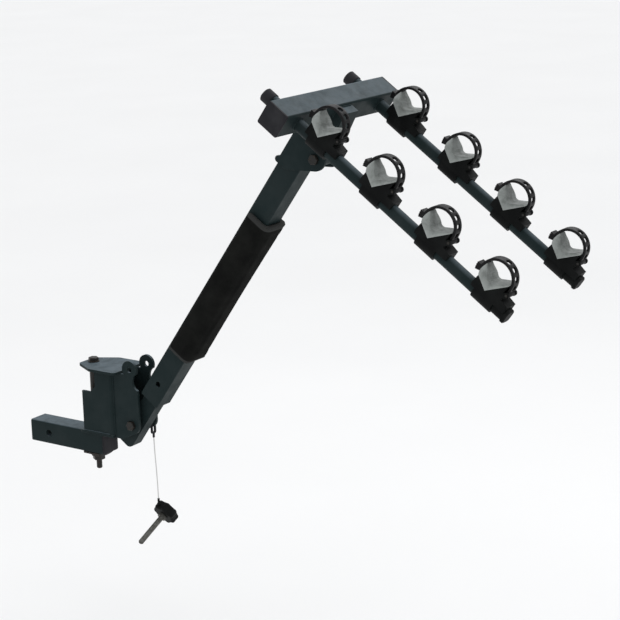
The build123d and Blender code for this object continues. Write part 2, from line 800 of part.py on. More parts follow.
for side_name, side in (("left", -1), ("right", 1)):
    for number in range(cradle_count):
        along = cradle_first + number * cradle_pitch
        middle = along + sleeve_offset
        view = arm_side(side, along)

        with BuildPart() as cradle_base:
            with BuildSketch(view):
                with BuildLine():
                    Polyline(
                        (-foot_lead, foot_low),
                        (-foot_lead, sleeve_radius - 1.0),
                        ring_point(pad_outer, seat_wing),
                        ring_point(pad_outer - 0.6, seat_horn),
                        ring_point(pad_outer - 1.6, 343),
                        (eye_out - 3.0, notch_height + 8.0),
                        (eye_out - 3.5, notch_height),
                        (foot_trail, foot_high),
                        (foot_trail, foot_low),
                        close=True,
                    )
                make_face()
            extrude(amount=base_width / 2, both=True)
            with BuildSketch(view):
                with Locations((eye_out, eye_height)):
                    Circle(eye_radius + 1.0)
                with BuildLine():
                    Line(ring_point(pad_outer, 322), ring_point(pad_outer, 343))
                make_hull()
            extrude(amount=base_width / 2, both=True)
            with BuildSketch(arm_section(side, middle)):
                Circle(sleeve_radius)
            extrude(amount=sleeve_length / 2, both=True)
            with BuildSketch(view):
                add(seat)
                with Locations((eye_out, eye_height)):
                    Circle(strap_pin_radius)
            extrude(amount=sleeve_radius, both=True, mode=Mode.SUBTRACT)
            with BuildSketch(view):
                with Locations((eye_out, eye_height)):
                    Circle(eye_radius + eye_clear)
            extrude(amount=strap_width / 2 + side_gap, both=True, mode=Mode.SUBTRACT)
            with BuildSketch(arm_section(side, middle)):
                Circle(arm_radius)
            extrude(amount=foot_trail, both=True, mode=Mode.SUBTRACT)
            for end in (-1, 1):
                with BuildSketch(arm_section(side, middle + end * sleeve_length / 2)):
                    Circle(arm_radius + foot_clear)
                extrude(amount=end * foot_trail, mode=Mode.SUBTRACT)
        cradle_base.part.label = f"{side_name}_cradle_base_{number + 1}"
        export_step(cradle_base.part, f"parts/{cradle_base.part.label}.step")

        with BuildPart() as cradle_pad:
            with BuildSketch(view):
                add(seat)
                add(trough, mode=Mode.SUBTRACT)
            extrude(amount=pad_width / 2, both=True)
        cradle_pad.part.label = f"{side_name}_cradle_pad_{number + 1}"
        export_step(cradle_pad.part, f"parts/{cradle_pad.part.label}.step")

        with BuildPart() as strap:
            with BuildSketch(view):
                add(ring_segment(strap_inner, strap_outer, swing_start, strap_stop))
                add(ring_segment(strap_inner, strap_outer + grip_thickness, grip_start, strap_stop))
                with Locations((eye_out, eye_height)):
                    Circle(swing_radius, mode=Mode.SUBTRACT)
                add(ring_segment(strap_inner, strap_outer, strap_start, swing_start))
                with Locations((eye_out, eye_height)):
                    Circle(eye_radius)
                with Locations((0, ring_height)):
                    Circle(strap_inner, mode=Mode.SUBTRACT)
                with Locations((eye_out, eye_height)):
                    Circle(strap_pin_radius + running_gap, mode=Mode.SUBTRACT)
            extrude(amount=strap_width / 2, both=True)
            with BuildSketch(view):
                for slot in range(slot_count):
                    slot_from = slot_first + slot * slot_pitch - slot_angle / 2
                    add(ring_segment(strap_inner - 1.0, strap_outer + 1.0, slot_from, slot_from + slot_angle))
            extrude(amount=slot_width / 2, both=True, mode=Mode.SUBTRACT)
        strap.part.label = f"{side_name}_strap_{number + 1}"
        export_step(strap.part, f"parts/{strap.part.label}.step")

# Hinge pins of the straps, pressed into the cradle bases
with BuildPart() as strap_pins:
    for side in (-1, 1):
        for number in range(cradle_count):
            with BuildSketch(arm_side(side, cradle_first + number * cradle_pitch)):
                with Locations((eye_out, eye_height)):
                    Circle(strap_pin_radius)
            extrude(amount=base_width / 2, both=True)

strap_pins.part.label = "strap_pins"
export_step(strap_pins.part, "parts/strap_pins.step")

# Loop through the right cheek's hole, with the ferrule that the lock pin's wire hangs from
loop_x = half_gap + plate / 2
ferrule_foot = loop_top - loop_height - ferrule_length

with BuildPart() as lanyard_loop:
    with BuildSketch(Plane.XZ.offset(loop_back)):
        with Locations((loop_x, loop_top - loop_height / 2)):
            RectangleRounded(loop_width, loop_height, loop_bar + 1.0)
            RectangleRounded(loop_width - 2 * loop_bar, loop_height - 2 * loop_bar, 1.5, mode=Mode.SUBTRACT)
    extrude(amount=loop_bar / 2, both=True)
    with BuildSketch(Plane.XY.offset(loop_top - loop_height)):
        with Locations((loop_x, -loop_back)):
            Circle(ferrule_radius)
    extrude(amount=-ferrule_length)

lanyard_loop.part.label = "lanyard_loop"
export_step(lanyard_loop.part, "parts/lanyard_loop.step")

# Wire lanyard between the two ferrules: nearly straight, because it carries the pin's weight
wire_top = Vector(loop_x, -loop_back, ferrule_foot)
wire_route = [wire_top + Vector(0, back, down) for back, down in wire_points]
wire_end = wire_route[-1]
wire_runs = [(b - a) for a, b in zip(wire_route, wire_route[1:])]
wire_turns = [a.get_angle(b) for a, b in zip(wire_runs, wire_runs[1:])]
wire_arcs = [
    0.45 * min(a.length, b.length) / tan(radians(turn) / 2)
    for a, b, turn in zip(wire_runs, wire_runs[1:], wire_turns)
]

with BuildPart() as lanyard:
    with BuildLine() as wire_line:
        FilletPolyline(*wire_route, radius=wire_arcs)
    with BuildSketch(Plane(origin=tuple(wire_top), z_dir=tuple(wire_line.wires()[0] % 0))):
        Circle(wire_radius)
    sweep(path=wire_line.wires()[0])

lanyard.part.label = "lanyard"
export_step(lanyard.part, "parts/lanyard.step")
print("lanyard arcs", [round(radius) for radius in wire_arcs])

# Lock pin and its lobed knob
eyelet = wire_end - Vector(0, 0, ferrule_length)
knob_middle = eyelet + Vector(*knob_offset)
pin_plane = Plane(origin=tuple(knob_middle), z_dir=pin_aim)
pin_line = Axis(tuple(knob_middle), pin_aim)
knob_face = knob_thickness / 2

with BuildPart() as pull_knob:
    with BuildSketch(pin_plane.offset(-knob_face)):
        Circle(knob_radius - lobe_height)
        with PolarLocations(knob_radius - lobe_radius, knob_lobes):
            Circle(lobe_radius)
        fillet(vertices(), notch_radius)
    extrude(amount=knob_thickness)
    knob_rims = pull_knob.faces().filter_by(GeomType.PLANE).sort_by(pin_line)
    fillet(knob_rims[0].edges() + knob_rims[-1].edges(), knob_edge)
    with Locations(tuple(eyelet + Vector(0, 0, -eyelet_radius))):
        Sphere(eyelet_radius)
    with BuildSketch(Plane(origin=tuple(wire_end), z_dir=(0, 0, -1))):
        Circle(ferrule_radius)
    extrude(amount=ferrule_length + eyelet_radius)
    with BuildSketch(pin_plane.offset(knob_face)):
        Circle(pin_radius)
    extrude(amount=-pin_socket, mode=Mode.SUBTRACT)

pull_knob.part.label = "pull_knob"
export_step(pull_knob.part, "parts/pull_knob.step")

with BuildPart() as pull_pin:
    with BuildSketch(pin_plane.offset(knob_face - pin_socket)):
        Circle(pin_radius)
    extrude(amount=pin_socket + pin_length)
    chamfer(pull_pin.faces().sort_by(pin_line)[-1].edges(), pin_nose)
    with BuildSketch(pin_plane.offset(knob_face)):
        Circle(collar_radius)
    extrude(amount=collar_length)

pull_pin.part.label = "pull_pin"
export_step(pull_pin.part, "parts/pull_pin.step")
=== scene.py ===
# %% [markdown]
# # A hitch bike rack
# The rack is bent plate, square tube and round tube under one dark powder coat, with eight cradles
# of grey rubber on two arms. The packed CAD solids carry every size and every joint. This lesson
# loads them as a fixed frame, then makes what a solid can't show well: the foam pad, the rubber
# pads and ladder straps, the wire, the weld beads and the clamp bolt's thread.

# %% Load the frame
import json
import math

import bpy
from mathutils import Matrix, Vector


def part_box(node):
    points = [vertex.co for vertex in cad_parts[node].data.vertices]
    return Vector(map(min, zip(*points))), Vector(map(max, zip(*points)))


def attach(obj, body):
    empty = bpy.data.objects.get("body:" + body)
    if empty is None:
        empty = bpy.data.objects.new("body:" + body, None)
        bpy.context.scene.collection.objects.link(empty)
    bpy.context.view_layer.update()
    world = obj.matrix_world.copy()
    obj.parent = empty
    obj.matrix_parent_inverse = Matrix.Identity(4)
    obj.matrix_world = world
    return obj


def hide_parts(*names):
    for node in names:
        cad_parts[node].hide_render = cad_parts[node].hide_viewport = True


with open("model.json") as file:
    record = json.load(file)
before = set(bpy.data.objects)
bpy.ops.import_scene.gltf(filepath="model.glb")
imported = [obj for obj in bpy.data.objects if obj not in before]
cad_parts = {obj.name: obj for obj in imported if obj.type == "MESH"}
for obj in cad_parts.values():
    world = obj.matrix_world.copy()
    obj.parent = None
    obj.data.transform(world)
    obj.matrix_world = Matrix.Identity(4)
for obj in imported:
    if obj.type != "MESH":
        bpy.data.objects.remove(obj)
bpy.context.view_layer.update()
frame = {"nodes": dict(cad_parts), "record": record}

nodes = frame["nodes"]

# %% [markdown]
# ## The camera
# The photograph was taken from the left and behind, a little above the rack's head. A camera could
# be moved by eye until the lines agree. This one stands where a camera fitted to the rack's long
# tubes stood, with a lens that fills the picture with the rack, so every line runs as in the
# photograph.

# %% Place the camera
mm = 0.001
camera_place = Vector((-2914.0, -2720.0, 1276.4)) * mm
look_along = Vector((0.7979, 0.5495, -0.2478)).normalized()
look_right = Vector((0.5616, -0.8270, -0.0254))
lens_length, sensor_width = 104.9, 36.0

look_up = look_right.cross(look_along).normalized()
look_right = look_along.cross(look_up)
camera_turn = Matrix((look_right, look_up, -look_along)).transposed()

camera_data = bpy.data.cameras.new("camera")
camera_data.lens = lens_length
camera_data.sensor_width = sensor_width
camera = bpy.data.objects.new("camera", camera_data)
camera.matrix_world = Matrix.Translation(camera_place) @ camera_turn.to_4x4()
bpy.context.scene.collection.objects.link(camera)
bpy.context.scene.camera = camera
print("camera at", [round(x, 3) for x in camera.location])

# %% [markdown]
# ## Places on the mast
# The mast leans back from its tilt pivot, and the arms leave its head at a right angle to it.
# Every place could be worked out in world coordinates, but a maker measures up the mast and out
# from it. A short function turns such distances into points, so each piece is placed by its own
# sizes.

# %% Measure from the tilt pivot
lean = math.radians(35.6)
up_mast = Vector((0, -math.sin(lean), math.cos(lean)))
ahead = Vector((0, math.cos(lean), math.sin(lean)))
pivot = Vector((0, -254.0, 61.4)) * mm
mast_reach = 895.0


def mast_point(across, forward, up):
    """A point in the mast's own directions, measured in millimetres from the tilt pivot."""
    return pivot + (Vector((across, 0, 0)) + ahead * forward + up_mast * up) * mm


print("head at", [round(x, 3) for x in mast_point(0, 0, mast_reach)])

# %% [markdown]
# ## The lock pin's wire
# A thin plastic-covered wire hangs from the right cheek and carries the lock pin, whose weight
# pulls it nearly straight. It could be a swept solid, but a curve bends more smoothly. A NURBS
# curve through five given points gives the slight bow, and a bevel gives it a round section.
# Blender counts each point's radius in a curve's box, so the points carry the wire's real radius
# and the bevel only multiplies it by one.

# %% Draw the wire's curve
wire_diameter = 2.5
wire_top = Vector((29.5, -263.0, 18.0))
wire_points = [(0.0, 0.0), (-0.7, -32.0), (-2.9, -71.0), (-4.6, -110.0), (-5.0, -143.0)]

wire_curve = bpy.data.curves.new("lanyard_wire", "CURVE")
wire_curve.dimensions = "3D"
wire_curve.bevel_depth = 1.0
wire_curve.bevel_resolution = 4
wire_curve.use_fill_caps = True
wire_line = wire_curve.splines.new("NURBS")
wire_line.points.add(len(wire_points) - 1)
for point, (back, down) in zip(wire_line.points, wire_points):
    point.co = (*((wire_top + Vector((0, back, down))) * mm), 1.0)
    point.radius = wire_diameter / 2 * mm
wire_line.order_u = 3
wire_line.use_endpoint_u = True
wire_line.resolution_u = 16

lanyard_wire = bpy.data.objects.new("lanyard_wire", wire_curve)
bpy.context.scene.collection.objects.link(lanyard_wire)
print("wire hangs from z", round(wire_top.z), "mm")

# %% [markdown] ### What the wire belongs to The wire stays with the bracket when the mast
# swings, and it takes the place of a plain CAD solid. Each new piece below says in the same way
# what it rides on and which solid it stands for.

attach(lanyard_wire, "hitch_base")
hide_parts("lanyard")

# %% [markdown]
# ## Materials
# Every finish on the rack varies a little: coats cloud over, plastic fades and edges wear. A
# finish could be an image, but an image has one scale and needs the piece unfolded flat. A small
# tree of nodes works at the real size on any shape, so each finish is one, and a class keeps it
# together.

# %% Start a finish with its shader


class PlainFinish:
    """A material with one Principled shader and short ways to add and join nodes."""

    def __init__(self, name, color, roughness, **sockets):
        self.material = bpy.data.materials.new(name)
        self.material.use_nodes = True
        self.tree = self.material.node_tree
        self.shader = self.tree.nodes["Principled BSDF"]
        self.shader.inputs["Base Color"].default_value = (*color, 1.0)
        self.shader.inputs["Roughness"].default_value = roughness
        for socket, value in sockets.items():
            self.shader.inputs[socket.replace("_", " ")].default_value = value
        self.place = self.node("ShaderNodeTexCoord").outputs["Object"]

    def node(self, kind, **settings):
        node = self.tree.nodes.new(kind)
        for key, value in settings.items():
            setattr(node, key, value)
        return node

    def join(self, out_socket, in_socket):
        self.tree.links.new(out_socket, in_socket)

    def color(self, socket):
        self.join(socket, self.shader.inputs["Base Color"])

    def roughness(self, socket):
        self.join(socket, self.shader.inputs["Roughness"])

    def normal(self, socket):
        self.join(socket, self.shader.inputs["Normal"])


print("materials before the first finish:", len(bpy.data.materials))

# %% [markdown]
# ### Patches
# Clouds in a coat, rust and bloom are all patches with soft edges. They could be painted by hand,
# but noise at the patches' real size gives them at once, and cutting it between two levels says
# how much of the surface they cover. Coordinates that are turned or stretched first make grain run
# one way.

# %% Add patches to a finish


class PatchedFinish(PlainFinish):
    """A finish with noise that is cut into patches."""

    def turned(self, turn, scale=(1, 1, 1)):
        """The object's coordinates, turned and scaled for a pattern."""
        mapping = self.node("ShaderNodeMapping")
        self.join(self.place, mapping.inputs["Vector"])
        mapping.inputs["Rotation"].default_value = turn
        mapping.inputs["Scale"].default_value = scale
        return mapping.outputs["Vector"]

    def noise(self, size, detail=3.0, roughness=0.5, place=None):
        """Noise whose patches are about a size in metres across."""
        noise = self.node("ShaderNodeTexNoise")
        noise.inputs["Scale"].default_value = 1.0 / size
        noise.inputs["Detail"].default_value = detail
        noise.inputs["Roughness"].default_value = roughness
        self.join(place or self.place, noise.inputs["Vector"])
        return noise.outputs["Fac"]

    def ranged(self, value, low, high, least=0.0, most=1.0):
        """A value cut between two levels and spread from a least to a most."""
        limits = self.node("ShaderNodeMapRange")
        self.join(value, limits.inputs["Value"])
        sockets = ("From Min", "From Max", "To Min", "To Max")
        for socket, number in zip(sockets, (low, high, least, most)):
            limits.inputs[socket].default_value = number
        return limits.outputs["Result"]

    def between(self, value, first, last):
        """A share from 0 to 1, spread from a first number to a last."""
        return self.ranged(value, 0.0, 1.0, first, last)

    def patches(self, size, low, high, detail=4.0, roughness=0.5, least=0.0, most=1.0):
        return self.ranged(self.noise(size, detail, roughness), low, high, least, most)


print("ways to patch a finish:", sum(not name.startswith("_") for name in vars(PatchedFinish)))

# %% [markdown]
# ### Sums and mixtures
# Dust lies where a face looks up and also where a patch is, so masks are multiplied, and colours
# are mixed by them. Blender could layer whole materials for this, but one shader with mixed
# colours does the same and is quicker to render.

# %% Add sums and mixtures to a finish
mix_first, mix_second, mix_result = 6, 7, 2  # the colours' places among a Mix node's sockets


class MixedFinish(PatchedFinish):
    """A finish whose masks and colours can be combined."""

    def maths(self, operation, a, b):
        node = self.node("ShaderNodeMath", operation=operation)
        for socket, value in zip(node.inputs, (a, b)):
            if isinstance(value, (int, float)):
                socket.default_value = value
            else:
                self.join(value, socket)
        return node.outputs["Value"]

    def mixed(self, factor, first, second):
        """A colour between two, each a plain colour or another node's output."""
        mix = self.node("ShaderNodeMix", data_type="RGBA")
        self.join(factor, mix.inputs["Factor"])
        for place, value in ((mix_first, first), (mix_second, second)):
            socket = mix.inputs[place]
            if isinstance(value, tuple):
                socket.default_value = (*value, 1.0)
            else:
                self.join(value, socket)
        return mix.outputs[mix_result]


print("ways to mix a finish:", sum(not name.startswith("_") for name in vars(MixedFinish)))

# %% [markdown]
# ### Edges, dust, sheen and bumps
# Real edges are never knife sharp, and wear follows the shape: edges rub bright, and dust lies on
# what faces upwards, where a painted sheen of the light from above is added too. Bevelling each
# solid would change its mesh, which the frame doesn't allow.
# The Bevel node rounds an edge in the shading alone, and where its normal differs from the
# surface's own, an edge is near. A Bump node then adds the grain of the coat on top.

# %% Add edges, dust, sheen and bumps to a finish


class Finish(MixedFinish):
    """A finish that knows its piece's edges and which way each surface faces."""

    def rounded_edges(self, radius):
        """The surface's normal, rounded where a sharp edge is near."""
        rounded = self.node("ShaderNodeBevel", samples=4)
        rounded.inputs["Radius"].default_value = radius
        return rounded.outputs["Normal"]

    def edge_wear(self, rounded_normal):
        """Where an edge is near: there the rounded normal differs from the surface's own."""
        alike = self.node("ShaderNodeVectorMath", operation="DOT_PRODUCT")
        self.join(rounded_normal, alike.inputs[0])
        self.join(self.node("ShaderNodeNewGeometry").outputs["Normal"], alike.inputs[1])
        return self.ranged(alike.outputs["Value"], low=0.97, high=0.85)

    def bumps(self, height, depth, strength, under=None):
        """A bump of a depth in metres, over a rounded normal where one is given."""
        bump = self.node("ShaderNodeBump")
        bump.inputs["Distance"].default_value = depth
        bump.inputs["Strength"].default_value = strength
        self.join(height, bump.inputs["Height"])
        if under:
            self.join(under, bump.inputs["Normal"])
        return bump.outputs["Normal"]

    def axis(self, place, axis):
        """One coordinate of a place."""
        parts = self.node("ShaderNodeSeparateXYZ")
        self.join(place, parts.inputs["Vector"])
        return parts.outputs[axis]

    def facing_up(self, low, high):
        """How far a surface faces upwards, from the piece's own normals."""
        own_normal = self.node("ShaderNodeTexCoord").outputs["Normal"]
        return self.ranged(self.axis(own_normal, "Z"), low, high)


print("ways to follow a piece's shape:", sum(not name.startswith("_") for name in vars(Finish)))

# %% [markdown]
# ### Powder coat on steel
# The steel is covered in a satin slate powder coat. Baked powder pulls into a faint orange peel a
# millimetre or so across, it rubs bright on sharp edges, and dust settles on what faces upwards.
# The tops are also lightened as a painted sheen of the light from above, mixed into the dust's
# colour. Each face could get a grey of its own, but that would fit one view only. A surface's own
# normal tells which way it faces, so the dust and the painted sheen stay on the tops of tubes and
# plates.

# %% Mix the powder coat
slate = (0.013, 0.022, 0.023)
slate_clouded = (0.021, 0.030, 0.031)
# painted sheen: this colour for upward faces is lighter than dust alone, standing in for light
# from above
slate_dust_and_sheen = (0.098, 0.126, 0.144)
slate_rubbed = (0.075, 0.083, 0.082)

powder = Finish("slate_powder_coat", slate, 0.46, Specular_IOR_Level=0.06)
clouded = powder.patches(70 * mm, 0.42, 0.72, detail=5.0, roughness=0.62)
dust_and_sheen_patches = powder.patches(24 * mm, 0.25, 0.6, detail=5.0, roughness=0.65, least=0.45)
# upward faces get dust and a painted sheen of the light from above, in patches
dust_and_sheen_on_tops = powder.maths("MULTIPLY", powder.facing_up(0.55, 0.95), dust_and_sheen_patches)
coat_edge = powder.rounded_edges(1.2 * mm)
scuffs = powder.patches(9 * mm, 0.45, 0.62, roughness=0.7)
worn_edge = powder.maths("MULTIPLY", powder.edge_wear(coat_edge), scuffs)
coat_color = powder.mixed(clouded, slate, slate_clouded)
coat_with_dust_and_sheen = powder.mixed(dust_and_sheen_on_tops, coat_color, slate_dust_and_sheen)
powder.color(powder.mixed(worn_edge, coat_with_dust_and_sheen, slate_rubbed))
powder.roughness(powder.patches(28 * mm, 0.3, 0.7, least=0.40, most=0.56))
orange_peel = powder.noise(1.3 * mm, detail=2.0)
powder.normal(powder.bumps(orange_peel, depth=0.05 * mm, strength=0.35, under=coat_edge))
print("made", powder.material.name)

# %% [markdown]
# ### Zinc plate
# The lock pin, the bushings and the spacers are zinc plated: grey with a trace of yellow, dulled
# in cloudy patches and finely scratched. Plain noise would look like dirt. Noise that is stretched
# along one axis reads as scratches, so the bump's coordinates are turned and squeezed.

# %% Mix the zinc plate
zinc_bright = (0.15, 0.15, 0.141)
zinc_dull = (0.082, 0.080, 0.070)

zinc = Finish("dulled_zinc", zinc_bright, 0.4, Metallic=0.9)
dulled = zinc.patches(6 * mm, 0.35, 0.65, detail=5.0, roughness=0.65)
zinc.color(zinc.mixed(dulled, zinc_bright, zinc_dull))
zinc.roughness(zinc.between(dulled, 0.34, 0.58))
drawn_out = zinc.turned((0.3, 0.2, 0.9), (1.0, 0.12, 1.0))
scratches = zinc.noise(0.5 * mm, detail=2.0, roughness=0.6, place=drawn_out)
zinc_edge = zinc.rounded_edges(0.8 * mm)
zinc.normal(zinc.bumps(scratches, depth=0.03 * mm, strength=0.4, under=zinc_edge))
print("made", zinc.material.name)

# %% [markdown]
# ### Blackened steel
# The bolts and nuts are blackened, which looks almost as dark as the coat, with a little brown
# rust where the black has worn off. Rust could sit in patches alone, but it starts on the edges
# that a spanner rubs, so the larger of the two, patch or edge, decides the colour.

# %% Mix the blackened steel
steel_black = (0.016, 0.016, 0.015)
steel_rust = (0.055, 0.036, 0.020)

blackened = Finish("blackened_steel", steel_black, 0.42, Metallic=0.35, Specular_IOR_Level=0.35)
rust = blackened.patches(5 * mm, 0.52, 0.68, detail=6.0, roughness=0.7)
steel_edge = blackened.rounded_edges(0.8 * mm)
thin_rust = blackened.maths("MULTIPLY", rust, 0.6)
rusty = blackened.maths("MAXIMUM", thin_rust, blackened.edge_wear(steel_edge))
blackened.color(blackened.mixed(rusty, steel_black, steel_rust))
blackened.roughness(blackened.between(rust, 0.36, 0.75))
pitting = blackened.noise(0.8 * mm, detail=4.0)
blackened.normal(blackened.bumps(pitting, depth=0.05 * mm, strength=0.5, under=steel_edge))
print("made", blackened.material.name)

# %% [markdown]
# ### Moulded black plastic
# The caps are moulded in a charcoal plastic, and the cradle bases in a deeper black. Both have a
# fine spark-eroded grain that makes them matt, and handling polishes their edges. They could be
# two separate trees, but only their colours and grain differ, so one function mixes both.

# %% Mix the two black plastics
moulded_roughness, polished_roughness = 0.5, 0.36


def moulded_plastic(name, fresh, faded, grain_size):
    plastic = Finish(name, fresh, moulded_roughness, Specular_IOR_Level=0.06)
    fading = plastic.patches(30 * mm, 0.4, 0.7)
    plastic.color(plastic.mixed(fading, fresh, faded))
    edge = plastic.rounded_edges(0.9 * mm)
    handled = plastic.edge_wear(edge)
    plastic.roughness(plastic.between(handled, moulded_roughness, polished_roughness))
    grain = plastic.noise(grain_size, detail=2.0)
    plastic.normal(plastic.bumps(grain, depth=0.04 * mm, strength=0.5, under=edge))
    return plastic


charcoal, charcoal_faded = (0.022, 0.022, 0.025), (0.032, 0.032, 0.035)
deep_black, deep_faded = (0.0045, 0.005, 0.005), (0.009, 0.010, 0.0098)
cap_plastic = moulded_plastic("cap_plastic", charcoal, charcoal_faded, 0.7 * mm)
base_plastic = moulded_plastic("base_plastic", deep_black, deep_faded, 0.5 * mm)
print("made", cap_plastic.material.name, base_plastic.material.name)

# %% [markdown]
# ### Grey pad rubber
# The pads are a grey rubber, darkened in the trough, partly by dirt where tubes have rested and
# partly as painted shade in the hollow. The dark could be a second material, but its edge is soft.
# Each pad's mesh instead carries that place as an attribute named trough, which the material
# reads.
# Rubber scatters its highlights widely, so it stays rough.

# %% Mix the pad rubber
pad_clean = (0.33, 0.355, 0.34)
pad_grubby = (0.22, 0.235, 0.225)
# painted shade: the trough's dark colour is partly rubbed-in dirt and partly shade in the hollow
pad_dirt_and_shade = (0.11, 0.12, 0.112)

pad_rubber = Finish("pad_rubber", pad_clean, 0.55, Specular_IOR_Level=0.35)
grime = pad_rubber.patches(14 * mm, 0.45, 0.75, detail=5.0, roughness=0.6)
trough = pad_rubber.node("ShaderNodeAttribute", attribute_name="trough").outputs["Fac"]
# the trough is darkened by dirt and by painted shade
trough_dirt_and_shade = pad_rubber.maths("MULTIPLY", trough, pad_rubber.between(grime, 0.55, 0.95))
grubby_pad = pad_rubber.mixed(grime, pad_clean, pad_grubby)
pad_rubber.color(pad_rubber.mixed(trough_dirt_and_shade, grubby_pad, pad_dirt_and_shade))
pad_rubber.roughness(pad_rubber.between(grime, 0.48, 0.66))
pad_rubber.normal(pad_rubber.bumps(pad_rubber.noise(0.9 * mm), depth=0.06 * mm, strength=0.4))
print("made", pad_rubber.material.name)

# %% [markdown]
# ### Black strap rubber
# The ladder straps are black rubber with a faint grey bloom, the wax that rubber sweats out with
# age. One even black would look like a hole in the picture, so wide, faint patches lift it a
# little.

# %% Mix the strap rubber
strap_black = (0.005, 0.005, 0.0055)
strap_bloom = (0.011, 0.011, 0.012)

strap_rubber = Finish("strap_rubber", strap_black, 0.5, Specular_IOR_Level=0.15)
bloom = strap_rubber.patches(11 * mm, 0.45, 0.7)
strap_rubber.color(strap_rubber.mixed(bloom, strap_black, strap_bloom))
strap_rubber.roughness(strap_rubber.between(bloom, 0.42, 0.6))
skin = strap_rubber.noise(0.6 * mm, detail=2.0)
strap_rubber.normal(strap_rubber.bumps(skin, depth=0.04 * mm, strength=0.4))
print("made", strap_rubber.material.name)

# %% [markdown]
# ### The foam's knit cover
# The mast's pad is closed-cell foam in a thin black knit, whose ribs run up the mast. The loops
# could be modelled, but there are thousands of them, each smaller than a pixel. So the pattern is
# turned by the mast's lean, and three waves are crossed to give the loops as a bump.

# %% Knit the foam cover
knit_black = (0.0072, 0.0075, 0.0071)
knit_pitch = 1.6 * mm
waves_in_a_metre = 3.2  # what a wave texture has at a scale of one

foam_cover = Finish("foam_cover", knit_black, 0.9, Specular_IOR_Level=0.02, Sheen_Weight=0.01)
foam_cover.shader.inputs["Sheen Roughness"].default_value = 0.5
up_the_mast = foam_cover.turned((-lean, 0, 0))


def knit_wave(direction):
    wave = foam_cover.node("ShaderNodeTexWave", bands_direction=direction, wave_profile="SIN")
    wave.inputs["Scale"].default_value = 1.0 / knit_pitch / waves_in_a_metre
    wave.inputs["Distortion"].default_value = 0.6
    foam_cover.join(up_the_mast, wave.inputs["Vector"])
    return wave.outputs["Fac"]


crossed = foam_cover.maths("ADD", knit_wave("X"), knit_wave("Y"))
loops = foam_cover.maths("MULTIPLY", crossed, knit_wave("Z"))
foam_cover.normal(foam_cover.bumps(loops, depth=0.18 * mm, strength=0.6))
print("knit pitch in mm:", knit_pitch / mm)

# %% [markdown]
# ### The cover's fading and binding
# Sun and rubbing fade the knit in wide patches, and a paler binding edges both ends. The binding
# could be a piece of its own, but it lies flat in the cover. So it is found by how far up the mast
# a point lies from the pad's middle, which is the same distance for both ends.

# %% Fade the cover and bind its ends
knit_worn = (0.0132, 0.0136, 0.0126)
binding_grey = (0.040, 0.041, 0.040)
pad_start, pad_end, hem_width = 223.0, 610.0, 9.0
binding_starts = (pad_end - pad_start) / 2 - hem_width
binding_blend = 1.0

pad_middle = pivot.dot(up_mast) + (pad_start + pad_end) / 2 * mm
past_middle = foam_cover.maths("SUBTRACT", foam_cover.axis(up_the_mast, "Z"), pad_middle)
from_middle = foam_cover.maths("ABSOLUTE", past_middle, 0.0)
binding = foam_cover.ranged(
    from_middle, binding_starts * mm, (binding_starts + binding_blend) * mm
)
fade = foam_cover.patches(45 * mm, 0.35, 0.7, detail=5.0, roughness=0.6)
faded_knit = foam_cover.mixed(fade, knit_black, knit_worn)
foam_cover.color(foam_cover.mixed(binding, faded_knit, binding_grey))
print("binding starts", binding_starts, "mm from the pad's middle")

# %% [markdown]
# ### Plastic-covered wire
# The lanyard is stranded wire under clear plastic, so it looks pale. Each strand could be a curve,
# but the whole wire is one pixel wide. A slanting wave across it shows the strands' lay as fine
# bands.

# %% Mix the wire's finish
wire_cover = (0.72, 0.72, 0.70)
wire_strand = (0.46, 0.46, 0.45)
strand_bands = 160.0

wire_finish = Finish("covered_wire", wire_cover, 0.3, Coat_Weight=0.5)
wave = wire_finish.node("ShaderNodeTexWave", bands_direction="Z")
wave.inputs["Scale"].default_value = strand_bands
wire_finish.join(wire_finish.turned((0.6, 0.3, 0)), wave.inputs["Vector"])
strands = wave.outputs["Fac"]
wire_finish.color(wire_finish.mixed(strands, wire_strand, wire_cover))
wire_finish.normal(wire_finish.bumps(strands, depth=0.1 * mm, strength=0.5))
print("made", wire_finish.material.name)

# %% [markdown]
# ## Dress the steel, the zinc and the caps
# Most of the rack's solids already have the right shape, so they keep it and only change their
# finish. Each could be dressed by name, but the record says which finish each node has, and one
# table turns those words into the materials above. The lock pin's knob and the arms' tip caps are
# as black as the cradle bases, so they take that plastic, and the straps' hinge pins are blackened
# like the bolts.

# %% Give every node its finish
finishes = {
    "coated_steel": powder,
    "zinc_hardware": zinc,
    "black_hardware": blackened,
    "black_plastic": cap_plastic,
    "cradle_plastic": base_plastic,
    "grey_rubber": pad_rubber,
    "strap_rubber": strap_rubber,
    "foam": foam_cover,
    "wire": wire_finish,
}
own_finishes = {"pull_knob": base_plastic, "tip_caps": base_plastic, "strap_pins": blackened}

for entry in frame["record"]["subparts"]:
    finish = own_finishes.get(entry["node"], finishes[entry["material_slot"]])
    for socket in nodes[entry["node"]].material_slots:
        socket.material = finish.material


def dress(piece, slot_name):
    """Gives a new piece the finish of one of the record's slots."""
    piece.data.materials.clear()
    piece.data.materials.append(finishes[slot_name].material)


dress(lanyard_wire, "wire")

# %% [markdown]
# ## Small tools for modelling
# By hand, a piece is clicked before an operator works on it. In code, an operator works on all
# that is selected, and the loaded solids start selected, so one helper picks a single piece.
# Others name what was just made, apply a stack of modifiers and smooth the shading.

# %% Pick a piece and shape it


def pick(piece):
    bpy.ops.object.select_all(action="DESELECT")
    piece.select_set(True)
    bpy.context.view_layer.objects.active = piece


def newest(name):
    piece = bpy.context.active_object
    piece.name = name
    piece.data.name = name
    return piece


